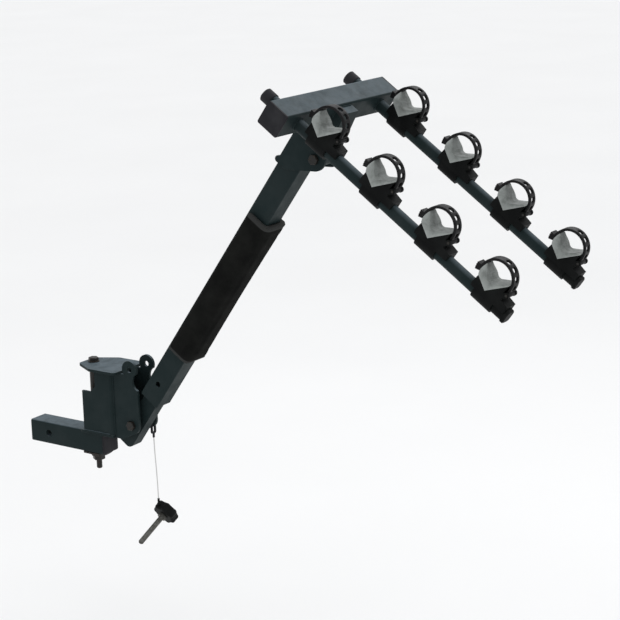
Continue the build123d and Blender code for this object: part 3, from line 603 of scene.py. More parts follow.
def shape_with(piece, *modifiers):
    """Adds and applies modifiers, each given as its type and a dict of its settings."""
    pick(piece)
    for kind, settings in modifiers:
        modifier = piece.modifiers.new(kind.lower(), kind)
        for key, value in settings.items():
            setattr(modifier, key, value)
        bpy.ops.object.modifier_apply(modifier=modifier.name)


def smooth(piece, degrees):
    pick(piece)
    bpy.ops.object.shade_smooth_by_angle(angle=math.radians(degrees))


print("selected since the load:", len(bpy.context.selected_objects))

# %% [markdown]
# ### Into edit mode and out
# Some operators change only the faces that are selected in edit mode. By hand they are clicked one
# by one, and in code a test picks them by their place or normal. Without a test, all faces are
# taken. A copy with a mesh of its own is the other small tool, because what repeats is modelled
# only once.

# %% Select faces and copy a piece


def select_faces(piece, wanted=lambda face: True):
    """Opens a piece in edit mode with only those faces selected that the test wants."""
    pick(piece)
    bpy.ops.object.mode_set(mode="EDIT")
    bpy.ops.mesh.select_mode(type="FACE")
    bpy.ops.mesh.select_all(action="DESELECT")
    bpy.ops.object.mode_set(mode="OBJECT")
    for face in piece.data.polygons:
        face.select = bool(wanted(face))
    bpy.ops.object.mode_set(mode="EDIT")


def leave_edit():
    bpy.ops.object.mode_set(mode="OBJECT")


def copied(piece, name, shift=(0, 0, 0)):
    """A copy with its own mesh, moved by a shift in metres."""
    twin = piece.copy()
    twin.data = piece.data.copy()
    twin.name = name
    twin.data.name = name
    twin.data.transform(Matrix.Translation(shift))
    bpy.context.scene.collection.objects.link(twin)
    return twin


print("faces on the foam's solid:", len(nodes["mast_pad"].data.polygons))

# %% [markdown]
# ## The foam pad on the mast
# A sleeve of foam wraps the mast's sides and back and keeps the bicycles off the steel. It could
# be modelled as a box, but foam crowns and its corners are full. So the solid is copied and
# remeshed fine, which gives the cloth simulation even squares to swell. The copy brings along the
# frame's notes on the solid, and they are taken off it.

# %% Copy and remesh the foam
merge_distance = 0.02 * mm
foam_voxel = 4 * mm

foam_pad = copied(nodes["mast_pad"], "foam_pad")
foam_pad.parent = None
for note in list(foam_pad.keys()):
    del foam_pad[note]
select_faces(foam_pad)
bpy.ops.mesh.remove_doubles(threshold=merge_distance)
leave_edit()
shape_with(foam_pad, ("REMESH", {"mode": "VOXEL", "voxel_size": foam_voxel}))
print("faces after the remesh:", len(foam_pad.data.polygons))

# %% [markdown]
# ### Hold the foam to the tube
# The foam is wrapped tight on the steel, so its inner faces can't move. They could be cut off, but
# the pad has to stay a closed shape. A vertex group names the points that are held instead. They
# are found by how far each lies from the mast's middle line.

# %% Hold the inner faces to the tube
tube_half, held_depth = 25.4, 4.0


def in_mast(point):
    """A point as distances across, ahead of and up the mast, in millimetres."""
    away = (point - pivot) / mm
    return away.x, away.dot(ahead), away.dot(up_mast)


def touches_tube(point):
    across, forward, _ = in_mast(point)
    return max(abs(across), -forward) < tube_half + held_depth


rest = [vertex.co.copy() for vertex in foam_pad.data.vertices]
held_points = [i for i, point in enumerate(rest) if touches_tube(point)]
foam_pad.vertex_groups.new(name="held_to_tube").add(held_points, 1.0, "REPLACE")
print("points held to the tube:", len(held_points), "of", len(rest))

# %% [markdown]
# ### Swell the foam
# Foam that is wrapped tight presses outwards between its hems. Moving the points by hand would
# look stiff, so a short cloth simulation with pressure inside swells the pad. Gravity is off,
# because the pad is stiff, and no point may move further than foam gives.

# %% Swell the foam under pressure
foam_pressure, swell_frames, most_swell = 4.0, 20, 3.0

pick(foam_pad)
cloth = foam_pad.modifiers.new("cloth", "CLOTH")
cloth.settings.use_pressure = True
cloth.settings.uniform_pressure_force = foam_pressure
cloth.settings.effector_weights.gravity = 0.0
cloth.settings.vertex_group_mass = "held_to_tube"
cloth.point_cache.frame_end = swell_frames
for step in range(1, swell_frames + 1):
    bpy.context.scene.frame_set(step)
bpy.ops.object.modifier_apply(modifier="cloth")
bpy.context.scene.frame_set(1)

for vertex, start in zip(foam_pad.data.vertices, rest):
    moved = vertex.co - start
    if moved.length > most_swell * mm:
        vertex.co = start + moved.normalized() * most_swell * mm
furthest = max((vertex.co - start).length for vertex, start in zip(foam_pad.data.vertices, rest))
print("furthest swell in mm:", round(furthest / mm, 1))

# %% [markdown]
# ### Draw in the hems
# A row of stitches draws the cover in near each end. It could be cut as a groove, but thread pulls
# a soft valley. So points near the stitches move towards the tube, by an amount that falls off
# smoothly on both sides of the row, and a subdivision rounds the result.

# %% Draw in the hems and finish the foam
hem_depth, stitch_spread = 1.3, 2.2

for vertex, start in zip(foam_pad.data.vertices, rest):
    across, forward, up = in_mast(vertex.co)
    from_end = min(up - pad_start, pad_end - up)
    sideways = max(-1, min(1, across / tube_half))
    outward = Vector((sideways, 0, 0)) + ahead * min(0, forward / tube_half)
    pull = math.exp(-(((from_end - hem_width) / stitch_spread) ** 2))
    if outward.length > 0 and not touches_tube(start):
        vertex.co -= outward.normalized() * hem_depth * pull * mm
shape_with(foam_pad, ("SUBSURF", {"levels": 1, "render_levels": 1}))
smooth(foam_pad, degrees=60)
dress(foam_pad, "foam")
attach(foam_pad, "mast")
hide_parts("mast_pad")
print("foam pad faces:", len(foam_pad.data.polygons))

# %% [markdown]
# ## A cradle in side view
# Each cradle holds a bicycle's top tube in a ring: a rubber pad below and a strap above. The
# pieces could be modelled flat and turned into place. Here the first left cradle is drawn where it
# belongs, by points that are measured from its arm or round its ring's middle.

# %% Measure round the ring
arm_spacing = 287.0
cradle_first = 84.0
ring_height = 47.0


def cradle_point(across, toward_tip, above_arm):
    """A point of the first left cradle, measured from the arm's axis under its ring."""
    return mast_point(
        across - arm_spacing / 2, -cradle_first - toward_tip, mast_reach + above_arm
    )


def ring_point(across, angle, radius):
    """A point round the ring, at an angle in degrees and a distance from its middle."""
    turn = math.radians(angle)
    return cradle_point(across, radius * math.cos(turn), ring_height + radius * math.sin(turn))


ring_middle = cradle_point(0, 0, ring_height)
print("first ring's middle at", [round(x, 3) for x in ring_middle])

# %% [markdown]
# ### A compass and a rule
# The side view of pad and strap is made of straight lines and arcs. Its points could be read off a
# drawing one by one, but a maker draws it with a compass and a rule. So each outline is worked out
# as a distance from the ring's middle, in a direction given in degrees.

# %% Measure to a line and to a circle


def heading(angle):
    return Vector((math.cos(math.radians(angle)), math.sin(math.radians(angle))))


def square_to(slope):
    return Vector((math.sin(math.radians(slope)), -math.cos(math.radians(slope))))


def direction_of(point):
    return math.degrees(math.atan2(point.y, point.x)) % 360


def circle_distance(angle, middle, radius):
    """How far it is to an offset circle's far side."""
    along = heading(angle).dot(middle)
    return along + math.sqrt(along**2 - middle.length_squared + radius**2)


def line_distance(angle, foot, slope):
    """How far it is to a straight line through a foot point, or endless where it isn't met."""
    facing = heading(angle).dot(square_to(slope))
    reach = foot.dot(square_to(slope)) / facing if abs(facing) > 1e-6 else -1.0
    return reach if reach > 0 else math.inf


print("a line 12 mm below the middle is", round(line_distance(270, Vector((0, -12)), 0)), "away")

# %% [markdown]
# ### The pad's trough
# A bicycle's tube lies in a V-shaped trough with a rounded bottom and shallow flutes for grip. It
# could be cut from a block with Booleans, but the flutes would need a tool each. As an outline
# round the ring, two flats, an arc and a wave are a few lines of sums.

# %% Draw the trough
pad_outer = 31.0
trough_foot, trough_lead, trough_trail = Vector((-3.0, -12.0)), 138.0, 35.0
trough_round, trough_bottom = 9.0, 260.0
flute_depth, flute_angle, flute_sharpness = 0.5, 14.0, 4

half_opening = math.radians(trough_lead - trough_trail) / 2
round_middle = trough_foot + heading((trough_lead + trough_trail) / 2) * (
    trough_round / math.sin(half_opening)
)


def touch_of(slope):
    """The direction in which the trough's rounded bottom meets one of its flats."""
    outwards = square_to(slope) * math.copysign(1.0, trough_foot.dot(square_to(slope)))
    return direction_of(round_middle + outwards * trough_round)


round_from, round_to = touch_of(trough_lead), touch_of(trough_trail)


def trough_radius(angle):
    if round_from < angle < round_to:
        return circle_distance(angle, round_middle, trough_round)
    slope = trough_lead if angle < trough_bottom else trough_trail
    return line_distance(angle, trough_foot, slope)


def pad_inner_radius(angle):
    fluting = max(0.0, math.cos(math.radians(angle * 360 / flute_angle))) ** flute_sharpness
    return min(pad_outer, trough_radius(angle) + flute_depth * fluting)


print("trough is round from", round(round_from), "to", round(round_to), "degrees")

# %% [markdown]
# ### The pad's seat
# Under the trough the rubber sits in its black base. It could follow the base's mesh, but the base
# is made of loose triangles. Its seat is two flats, one on each side of a foot point, so they are
# drawn again here, and the ring itself bounds the wing.

# %% Draw the seat
seat_foot, seat_trail, seat_wing = Vector((-1.4, -29.0)), 50.0, 205.0
seat_lead_until, seat_trail_from = 300.0, 240.0
seat_lead = direction_of(heading(seat_wing) * pad_outer - seat_foot)


def pad_outer_radius(angle):
    lead = line_distance(angle, seat_foot, seat_lead) if angle < seat_lead_until else math.inf
    trail = line_distance(angle, seat_foot, seat_trail) if angle > seat_trail_from else math.inf
    return min(pad_outer, lead, trail)


print("rubber under the trough in mm:", round(pad_outer_radius(270) - pad_inner_radius(270), 1))

# %% [markdown]
# ### The pad's block
# The pad is one moulded block. Joining the outlines point by point would leave one huge face,
# which shades badly. So a flat grid is laid round the ring, its two long edges are moved onto the
# outlines, and an extrude gives it its width across the arm. The strap's grip is made in the same
# way.

# %% Lay a grid round the ring and extrude it


def evenly(start, end, steps):
    """Numbers from a start to an end, at even steps."""
    return [start + (end - start) * step / steps for step in range(steps + 1)]


def flat_grid(name, angles, columns):
    """A flat grid, and the angle and the column that each of its points stands for."""
    bpy.ops.object.select_all(action="DESELECT")
    bpy.ops.mesh.primitive_grid_add(
        x_subdivisions=len(angles) - 1, y_subdivisions=len(columns) - 1, size=1.0
    )
    grid = newest(name)
    spots = [(round(v.co.x, 5), round(v.co.y, 5)) for v in grid.data.vertices]
    xs, ys = (sorted(set(line)) for line in zip(*spots))
    return grid, [(angles[xs.index(x)], columns[ys.index(y)]) for x, y in spots]


def ring_block(name, angles, inner, outer, width):
    """A block round the ring between two outlines, both functions of the angle."""
    block, places = flat_grid(name, angles, (inner, outer))
    for vertex, (angle, outline) in zip(block.data.vertices, places):
        vertex.co = ring_point(-width / 2, angle, outline(angle))
    select_faces(block)
    bpy.ops.mesh.extrude_region_move(TRANSFORM_OT_translate={"value": (width * mm, 0, 0)})
    bpy.ops.mesh.select_all(action="SELECT")
    bpy.ops.mesh.normals_make_consistent(inside=False)
    leave_edit()
    return block


pad_width = 40.0
pad_from, pad_to, pad_steps = 159.5, 379.0, 110
pad_angles = evenly(pad_from, pad_to, pad_steps)
first_pad = ring_block("first_pad", pad_angles, pad_inner_radius, pad_outer_radius, pad_width)
print("pad faces before its edges are rounded:", len(first_pad.data.polygons))

# %% [markdown]
# ### The pad's narrow wing
# The wing on the head's side gets narrower as it climbs, and all edges are well rounded. A taper
# could come from scaling the end faces, but the wing curves. So each point is drawn towards the
# middle by how far it has climbed, and a bevel then rounds every sharp edge at once.

# %% Narrow the wing and round the edges
wing_low, wing_high, wing_narrowing = -6.0, 12.0, 0.5
sharp_edge = 0.9  # radians, about 52 degrees


def share(value):
    """A number kept between 0 and 1."""
    return max(0.0, min(1.0, value))


def rounding(width, segments):
    """A bevel of a width in millimetres along all sharp edges."""
    limit = {"limit_method": "ANGLE", "angle_limit": sharp_edge}
    return "BEVEL", {"width": width * mm, "segments": segments, **limit}


for vertex in first_pad.data.vertices:
    away = (vertex.co - ring_middle) / mm
    if away.dot(ahead) > 0:
        climb = share((away.dot(up_mast) - wing_low) / (wing_high - wing_low))
        narrowing = wing_narrowing * climb * climb * (3 - 2 * climb)
        vertex.co.x = ring_middle.x + (vertex.co.x - ring_middle.x) * (1 - narrowing)
shape_with(first_pad, rounding(width=1.6, segments=3))
smooth(first_pad, degrees=50)
print("pad faces:", len(first_pad.data.polygons))

# %% [markdown]
# ### Where tubes have rested and shade falls
# Bicycle tubes rub their dirt into the trough, and shade falls in its hollow, which is painted in
# too. The pad rubber's material asks for an attribute named trough to show both. It could be
# painted by hand as vertex weights, but the trough's outline is known, so each point's depth under
# that outline gives its value, with a soft edge.

# %% Mark the trough
# how deep the dirt and painted shade reach into the trough, and how soft their edge is
dirt_and_shade_depth, dirt_and_shade_edge = 1.7, 0.8

trough_mask = first_pad.data.attributes.new("trough", "FLOAT", "POINT")
for vertex in first_pad.data.vertices:
    away = (vertex.co - ring_middle) / mm
    place = Vector((-away.dot(ahead), away.dot(up_mast)))
    angle = direction_of(place)
    depth = place.length - trough_radius(angle + 360 if angle < 90 else angle)
    trough_mask.data[vertex.index].value = share((dirt_and_shade_depth - depth) / dirt_and_shade_edge)
print("points in the trough:", sum(point.value > 0.5 for point in trough_mask.data))

# %% [markdown]
# ## The ladder straps
# A black rubber strap with a ladder of slots closes each cradle. The slots could be cut with
# Booleans, which leave ragged faces on a bend. Here the band is a grid whose lines already lie
# where the slots and rungs begin and end. It follows the ring, and near the grip it follows a
# circle round its hinge, so that the grip swings up past the pad.

# %% Lay out the ladder
strap_width, strap_inner, strap_thickness = 22.0, 31.5, 5.0
slot_width, slot_angle, slot_pitch = 11.0, 17.0, 28.0
first_slot, band_end, end_step, bare_start = 6.0, -12.0, 5.0, 110.0
slot_steps, bare_steps, swing_steps = 4, 9, 4
slot_middles = [first_slot + slot_pitch * number for number in range(4)]
swing_start, grip_start, strap_stop = 164.0, 180.0, 198.0
eye_middle, eye_radius, swing_gap = Vector((35.5, -10.0)), 5.0, 0.5
swing_radius = pad_outer + eye_middle.length + swing_gap


def strap_inner_radius(angle):
    if angle < swing_start:
        return strap_inner
    return max(strap_inner, circle_distance(angle, eye_middle, swing_radius))


band_angles = [band_end, band_end + end_step]
for middle in slot_middles:
    band_angles += evenly(middle - slot_angle / 2, middle + slot_angle / 2, slot_steps)
    band_angles.append(middle + slot_pitch / 2)
band_angles += evenly(bare_start, swing_start, bare_steps)[:-1]
band_angles += evenly(swing_start, grip_start, swing_steps)
band_columns = [-strap_width / 2, -slot_width / 2, -slot_width / 4]
band_columns += [-column for column in reversed(band_columns)]
print("grid lines round the strap:", len(band_angles), "and across it:", len(band_columns))

# %% [markdown]
# ### Bend the band
# Slots in moulded rubber have round corners. Many small faces could round them, but on a slot this
# small it is enough to pull in its four corner points, because the bevel that follows rounds the
# rest.

# %% Bend the grid round the ring
slot_round, same_spot = 1.2, 0.01

band, band_places = flat_grid("ladder_band", band_angles, band_columns)
for vertex, (angle, across) in zip(band.data.vertices, band_places):
    middle = min(slot_middles, key=lambda slot: abs(angle - slot))
    at_slot_end = abs(abs(angle - middle) - slot_angle / 2) < same_spot
    at_slot_side = abs(abs(across) - slot_width / 2) < same_spot
    if at_slot_end and at_slot_side:
        across -= math.copysign(slot_round, across)
        angle -= math.copysign(math.degrees(slot_round / strap_inner), angle - middle)
    vertex.co = ring_point(across, angle, strap_inner_radius(angle))
print("band faces before the cut:", len(band.data.polygons))

# %% [markdown]
# ### Cut the slots
# The faces inside the slots are taken out while the band is still a sheet, since a sheet is the
# easiest thing to cut. Solidify then gives it its thickness, outwards from the ring, and makes the
# slots' walls by itself. Its sign depends on which way the sheet faces, so that is measured first.

# %% Cut the slots and thicken the band


def in_slot(face):
    angle = sum(band_places[i][0] for i in face.vertices) / 4
    across = sum(band_places[i][1] for i in face.vertices) / 4
    from_slot = min(abs(angle - middle) for middle in slot_middles)
    return from_slot < slot_angle / 2 and abs(across) < slot_width / 2


select_faces(band, in_slot)
bpy.ops.mesh.delete(type="FACE")
leave_edit()
select_faces(band)
bpy.ops.mesh.normals_make_consistent(inside=False)
leave_edit()
some_face = band.data.polygons[0]
outward = (some_face.center - ring_middle).dot(some_face.normal) > 0
thicker = {"thickness": strap_thickness * mm, "offset": 1.0 if outward else -1.0}
shape_with(band, ("SOLIDIFY", thicker), rounding(width=0.7, segments=2))
print("ladder band faces:", len(band.data.polygons))

# %% [markdown]
# ### The grip
# A thick ribbed grip ends the strap, where a thumb lifts it. The ribs could be small blocks set on
# it, but they are moulded with it. So the grip is a block round the ring whose outer outline rises
# and falls, with its edges well rounded.

# %% Mould the grip
grip_thickness, rib_depth, rib_angle = 9.0, 0.9, 6.0
grip_overlap, grip_steps = 1.0, 12
grip_angles = evenly(grip_start - grip_overlap, strap_stop, grip_steps)


def grip_outer_radius(angle):
    wave = math.cos(math.radians((angle - grip_start) * 360 / rib_angle))
    return strap_inner + strap_thickness + grip_thickness - rib_depth * (0.5 - 0.5 * wave)


grip = ring_block("grip", grip_angles, strap_inner_radius, grip_outer_radius, strap_width)
shape_with(grip, rounding(width=2.4, segments=4))
print("grip faces:", len(grip.data.polygons))

# %% [markdown]
# ### The knuckle
# The strap turns on a steel pin through a rubber eye. A solid drum with a hole bored in it would
# do, but an open tube that Solidify thickens inwards has its bore at once. Its place and turn are
# then moved into its mesh, so that the piece lies at the origin like the frame's solids.

# %% Add the knuckle
pin_bore = 2.56


def settle(piece):
    """Moves a piece's place, turn and scale into its mesh."""
    pick(piece)
    bpy.ops.object.transform_apply(location=True, rotation=True, scale=True)


bpy.ops.object.select_all(action="DESELECT")
bpy.ops.mesh.primitive_cylinder_add(
    vertices=32,
    radius=eye_radius * mm,
    depth=strap_width * mm,
    end_fill_type="NOTHING",
    location=cradle_point(0, eye_middle.x, ring_height + eye_middle.y),
    rotation=(0, math.pi / 2, 0),
)
knuckle = newest("knuckle")
settle(knuckle)
wall = {"thickness": (eye_radius - pin_bore) * mm, "offset": -1.0}
shape_with(knuckle, ("SOLIDIFY", wall), rounding(width=0.6, segments=2))
print("knuckle faces:", len(knuckle.data.polygons))

# %% [markdown]
# ### One moulding
# The band, the grip and the knuckle are one moulding on the real strap. A Boolean could merge them
# into one skin, but their overlaps are hidden and rubber shows no joint there, so they are simply
# joined into one piece.

# %% Join the strap


def joined(name, pieces):
    """Joins several meshes into one piece."""
    bpy.ops.object.select_all(action="DESELECT")
    for piece in pieces:
        piece.select_set(True)
    bpy.context.view_layer.objects.active = pieces[0]
    bpy.ops.object.join()
    return newest(name)


first_strap = joined("first_strap", [band, grip, knuckle])
smooth(first_strap, degrees=45)
print("strap faces:", len(first_strap.data.polygons))

# %% [markdown]
# ## Eight cradles from one
# All eight cradles are alike, four on each arm. An array modifier could repeat them, but it would
# leave them one piece, and each strap has to turn on its own hinge. So the pad and the strap are
# copied along the arms, each copy with its own mesh. A pad stays with the arms.

# %% Copy pads and straps along both arms
cradle_pitch = 144.0

for side_name, side_shift in (("left", 0.0), ("right", arm_spacing)):
    for number in range(4):
        shift = (Vector((side_shift, 0, 0)) - ahead * cradle_pitch * number) * mm
        tag = f"{side_name}_{number + 1}"
        pad = copied(first_pad, f"soft_pad_{tag}", shift)
        dress(pad, "grey_rubber")
        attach(pad, "arm_head")
        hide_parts(f"{side_name}_cradle_pad_{number + 1}")
        strap = copied(first_strap, f"ladder_strap_{tag}", shift)
        dress(strap, "strap_rubber")
        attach(strap, f"{side_name}_strap_{number + 1}")
        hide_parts(f"{side_name}_strap_{number + 1}")
for pattern in (first_pad, first_strap):
    bpy.data.objects.remove(pattern)

# %% [markdown]
# ## Weld beads
# Plates and tubes are joined by fillet welds, painted over with the rest. A plain rod in the
# corner would look like caulk, because a weld is a row of overlapping ripples. One ripple is a
# short ten-sided drum. A slanting cut gives it a waist, which is then made fuller than its two
# ends.

# %% Model one ripple
ripple_length, bead_radius = 3.2, 2.6
end_size, waist_swell = 0.8, 1.25
cut_height, cut_slant, waist_share = 0.1, 0.25, 0.45


def one_ripple(name, length):
    bpy.ops.object.select_all(action="DESELECT")
    bpy.ops.mesh.primitive_cylinder_add(
        vertices=10, radius=bead_radius * end_size * mm, depth=length, end_fill_type="NOTHING"
    )
    ripple = newest(name)
    select_faces(ripple)
    bpy.ops.mesh.bisect(
        plane_co=(0, 0, cut_height * ripple_length * mm), plane_no=(0, cut_slant, 1)
    )
    leave_edit()
    for vertex in ripple.data.vertices:
        if abs(vertex.co.z) < waist_share * length:
            vertex.co.x *= waist_swell
            vertex.co.y *= waist_swell
    return ripple


print("fullest width of a ripple in mm:", round(2 * bead_radius * end_size * waist_swell, 1))

# %% [markdown]
# ### A row of ripples
# A bead could be drawn ripple by ripple, but an Array modifier repeats one at even steps and
# merges the rings where two meet. The row is closed at both ends, turned to run from its start to
# its end, and laid into the corner where the two parts meet.

# %% Lay a bead between two points


def weld_bead(start, end):
    """A painted fillet weld between two points given in metres."""
    run = end - start
    count = max(2, round(run.length / mm / ripple_length))
    step = run.length / count
    bead = one_ripple("bead", step)
    row = {
        "count": count,
        "use_relative_offset": False,
        "use_constant_offset": True,
        "constant_offset_displace": (0, 0, step),
        "use_merge_vertices": True,
        "merge_threshold": 0.05 * mm,
    }
    shape_with(bead, ("ARRAY", row))
    select_faces(bead)
    bpy.ops.mesh.fill_holes(sides=0)
    leave_edit()
    turn = run.to_track_quat("Z", "Y").to_matrix().to_4x4()
    to_first_middle = Matrix.Translation((0, 0, step / 2))
    bead.data.transform(Matrix.Translation(start) @ turn @ to_first_middle)
    smooth(bead, degrees=70)
    return bead


print("ripples in a centimetre:", round(10 / ripple_length, 1))

# %% [markdown]
# ### The bracket's welds
# On each side, the base plate is welded to the shank, the channel to the base plate and the top
# plate, and the cheek to the channel's back. All eight beads could be listed, but the bracket is
# the same on both sides, so four are listed and a loop lays them left and right.

# %% Weld the bracket
shank_top, floor_top, roof_bottom = 25.4, 31.4, 175.4
channel_side, cheek_face = 38.5, 32.5
plate_seam, floor_seam, roof_seam, back_seam = (-112, -157), (-122, -196), (-162, -196), -206.0
cheek_low, cheek_high = 36, 171

seams = [
    [(tube_half, y, shank_top) for y in plate_seam],
    [(channel_side, y, floor_top) for y in floor_seam],
    [(channel_side, y, roof_bottom) for y in roof_seam],
    [(cheek_face, back_seam, z) for z in (cheek_low, cheek_high)],
]


def lay_welds(name, body, beads):
    """Joins beads into one piece and lets it ride on a body."""
    welds = joined(name, beads)
    dress(welds, "coated_steel")
    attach(welds, body)
    print(name, "faces:", len(welds.data.polygons))


bracket_beads = []
for side in (-1, 1):
    for seam in seams:
        start, end = (Vector((side * x, y, z)) * mm for x, y, z in seam)
        bracket_beads.append(weld_bead(start, end))
lay_welds("bracket_welds", "hitch_base", bracket_beads)

# %% [markdown]
# ### The mast's welds
# The mast's tube is welded all round its foot, and the yoke plates to its two sides. These seams
# lean with the mast. They could be laid upright and turned, but it is simpler to give their ends
# in the mast's own directions.

# %% Weld the mast
foot_half, foot_deep, tube_foot = 15.0, 19.0, 77.0
yoke_low, yoke_seam = 738.0, (778.0, 862.0)
yoke_front_seam = (3, 23)

mast_beads = []
for side in (-1, 1):
    beside, behind = side * foot_half, side * foot_deep
    edge = side * tube_half
    for seam in (
        [(beside, forward, tube_foot) for forward in (-foot_deep, foot_deep)],
        [(across, behind, tube_foot) for across in (-foot_half, foot_half)],
        [(edge, forward, yoke_low) for forward in yoke_front_seam],
        [(edge, -tube_half, up) for up in yoke_seam],
    ):
        start, end = (mast_point(*place) for place in seam)
        mast_beads.append(weld_bead(start, end))
lay_welds("mast_welds", "mast", mast_beads)

# %% [markdown]
# ### A weld round a tube
# Each arm passes through the head bar, with a weld right round it on both faces. A straight bead
# could be bent round, but it would have a seam. A torus has none, and swelling every other ring of
# its points gives the same ripples.

# %% Model a weld round a tube
ring_sides, ring_size, ring_swell = 10, 0.9, 1.18


def ring_bead(middle, facing, radius):
    """A painted weld right round a tube."""
    bpy.ops.object.select_all(action="DESELECT")
    bpy.ops.mesh.primitive_torus_add(
        major_radius=radius * mm,
        minor_radius=bead_radius * ring_size * mm,
        major_segments=2 * round(2 * math.pi * radius / ripple_length),
        minor_segments=ring_sides,
        location=middle,
        rotation=facing.to_track_quat("Z", "Y").to_euler(),
    )
    bead = newest("bead")
    settle(bead)
    for index, vertex in enumerate(bead.data.vertices):
        if (index // ring_sides) % 2:
            hub = middle + (vertex.co - middle).normalized() * radius * mm
            vertex.co = hub + (vertex.co - hub) * ring_swell
    smooth(bead, degrees=70)
    return bead


print("ring beads have", ring_sides, "sides")

# %% [markdown]
# ### The head's welds
# Behind the head bar a lug takes the fold bolt. It is welded along both sides and its top, and
# each arm has a ring on both faces of the bar. The other arm and side could be mirrored, but a
# mirror turns a mesh inside out, so the loop lays both.

# %% Weld the arms and the lug to the head bar
lug_half, lug_low, lug_top, lug_top_half = 25.0, 876.0, 914.0, 21
arm_weld_radius = 12.9

head_beads = []
for side in (-1, 1):
    lug_ends = (mast_point(side * lug_half, -tube_half, up) for up in (lug_low, lug_top))
    head_beads.append(weld_bead(*lug_ends))
    for face in (-1, 1):
        hole = mast_point(side * arm_spacing / 2, face * tube_half, mast_reach)
        head_beads.append(ring_bead(hole, ahead * face, arm_weld_radius))
top_ends = (mast_point(across, -tube_half, lug_top) for across in (-lug_top_half, lug_top_half))
head_beads.append(weld_bead(*top_ends))
lay_welds("head_welds", "arm_head", head_beads)

# %% [markdown]
# ## The clamp bolt's thread
# The long clamp bolt sticks out under its nut, and its thread shows. Rings round the bolt would
# look nearly right, but a thread climbs. It is one V-shaped tooth turned round the bolt while it
# rises, which is what the Screw modifier does. A plane without its face gives the tooth's four
# edges.

# %% Shape the thread's tooth
bolt_radius, thread_pitch = 6.1, 1.75
tooth_root, tooth_crest = bolt_radius - 0.6, bolt_radius + 0.25
tooth_fill = 0.98
tooth_outline = [(tooth_root, 0.0), (tooth_crest, 0.42), (tooth_crest, 0.58), (tooth_root, 1.0)]

bpy.ops.object.select_all(action="DESELECT")
bpy.ops.mesh.primitive_plane_add(size=1.0)
clamp_thread = newest("clamp_thread")
corners = list(clamp_thread.data.polygons[0].vertices)
for index, (out, up) in zip(corners, tooth_outline):
    clamp_thread.data.vertices[index].co = (out * mm, 0, up * thread_pitch * tooth_fill * mm)
select_faces(clamp_thread)
bpy.ops.mesh.delete(type="ONLY_FACE")
leave_edit()
print("tooth height in mm:", round(tooth_crest - tooth_root, 2))

# %% [markdown]
# ### Turn the thread
# The thread runs from the bolt's tip to the nut. Its length could be typed in, but the frame knows
# both solids' boxes, so it is measured from them and still fits when a size changes. The two open
# ends are closed after the turn, and the normals are set outwards.

# %% Turn the tooth up the bolt
bolt_y, tip_bare, nut_clear = -125.0, 1.5, 1.0
steps_a_turn, tooth_start = 28, math.radians(180)

clamp_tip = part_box("clamp_bolt")[0].z / mm
nut_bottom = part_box("clamp_nut")[0].z / mm
turns = max(2, int((nut_bottom - clamp_tip - nut_clear) / thread_pitch) - 1)
climb = {
    "angle": 2 * math.pi * turns,
    "screw_offset": thread_pitch * turns * mm,
    "steps": steps_a_turn * turns,
    "render_steps": steps_a_turn * turns,
    "use_normal_calculate": True,
}
shape_with(clamp_thread, ("SCREW", climb))
select_faces(clamp_thread)
bpy.ops.mesh.fill_holes(sides=4)
bpy.ops.mesh.normals_make_consistent(inside=False)
leave_edit()
thread_foot = Vector((0, bolt_y, clamp_tip + tip_bare)) * mm
turned_round = Matrix.Rotation(tooth_start, 4, "Z")
clamp_thread.data.transform(Matrix.Translation(thread_foot) @ turned_round)
smooth(clamp_thread, degrees=30)
dress(clamp_thread, "black_hardware")
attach(clamp_thread, "hitch_base")
print("bare bolt under the nut in mm:", round(nut_bottom - clamp_tip, 1))

# %% [markdown]
# ## The floor
# The rack is shown over a plain pale floor, at the height of the ground under a hitch. A curved
# backdrop would hide the horizon in one view only, while a very large plane does it from all
# sides. Its grey drifts a little, as a swept studio floor does.

# %% Lay the floor
ground, floor_size = -0.46, 60.0
floor_middle = (0, -0.6, ground)
floor_dark, floor_light = (0.84, 0.84, 0.835), (0.88, 0.88, 0.875)

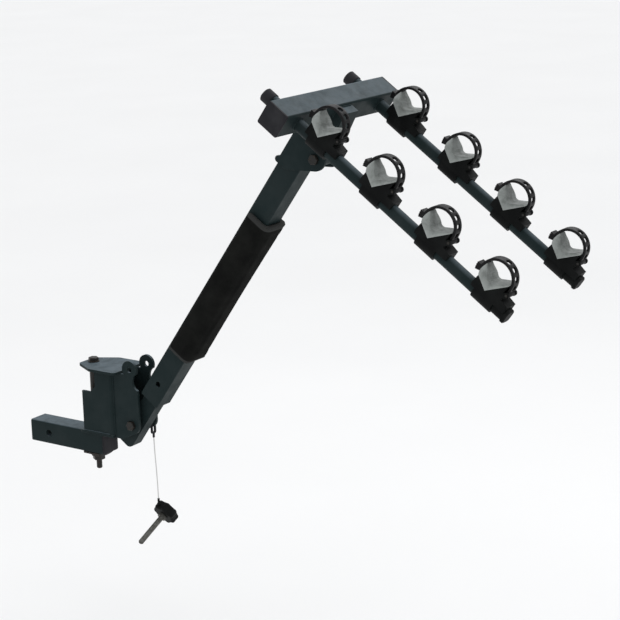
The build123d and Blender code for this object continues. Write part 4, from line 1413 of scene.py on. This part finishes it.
bpy.ops.object.select_all(action="DESELECT")
bpy.ops.mesh.primitive_plane_add(size=floor_size, location=floor_middle)
floor = newest("floor")
floor_finish = Finish("pale_floor", floor_light, 0.8)
floor_finish.color(floor_finish.mixed(floor_finish.noise(0.8), floor_dark, floor_light))
floor.data.materials.append(floor_finish.material)
print("floor at z", ground, "m")

# %% [markdown]
# ## The light all round
# A dark coat shows little more than what it mirrors, so a black world would lose the rack's
# outline. A pale world fills every side softly. The Standard view keeps the darks as dark as the
# photograph's, where the default view would lift them.

# %% Fill the world with pale light
world_color, world_strength = (0.97, 0.98, 1.0), 0.75

world = bpy.data.worlds.new("studio")
world.use_nodes = True
background = world.node_tree.nodes["Background"]
background.inputs["Color"].default_value = (*world_color, 1.0)
background.inputs["Strength"].default_value = world_strength
bpy.context.scene.world = world
bpy.context.scene.view_settings.view_transform = "Standard"
print("world strength:", world_strength)

# %% [markdown]
# ## Sky and softbox
# A very wide sun high above gives an even floor and soft shadows, as an overcast sky does. The
# head bar's top has a pale sheen in the photograph. A brighter coat could give it, but it would be
# bright everywhere. So one area light stands where that face mirrors it towards the camera.

# %% Hang the two lights
sky_energy, sky_spread, sky_offset = 1.1, 80, Vector((1.0, -0.6, 3.0))
softbox_energy, softbox_size, softbox_away = 9.0, 1.6, 2.4


def aimed(light, place, aim):
    """Hangs a light at a place and turns it to a point."""
    lamp = bpy.data.objects.new(light.name, light)
    lamp.location = place
    lamp.rotation_euler = (aim - place).to_track_quat("-Z", "Y").to_euler()
    bpy.context.scene.collection.objects.link(lamp)


head_middle = mast_point(0, 0, mast_reach)
sky = bpy.data.lights.new("sky", "SUN")
sky.energy = sky_energy
sky.angle = math.radians(sky_spread)
aimed(sky, head_middle + sky_offset, head_middle)

to_camera = (camera_place - head_middle).normalized()
mirrored = 2 * to_camera.dot(up_mast) * up_mast - to_camera
softbox = bpy.data.lights.new("softbox", "AREA")
softbox.shape = "DISK"
softbox.size = softbox_size
softbox.energy = softbox_energy
aimed(softbox, head_middle + softbox_away * mirrored, head_middle)
print("lights:", len(bpy.data.lights))

# %% [markdown]
# The finished model has to stay in the CAD model's box.
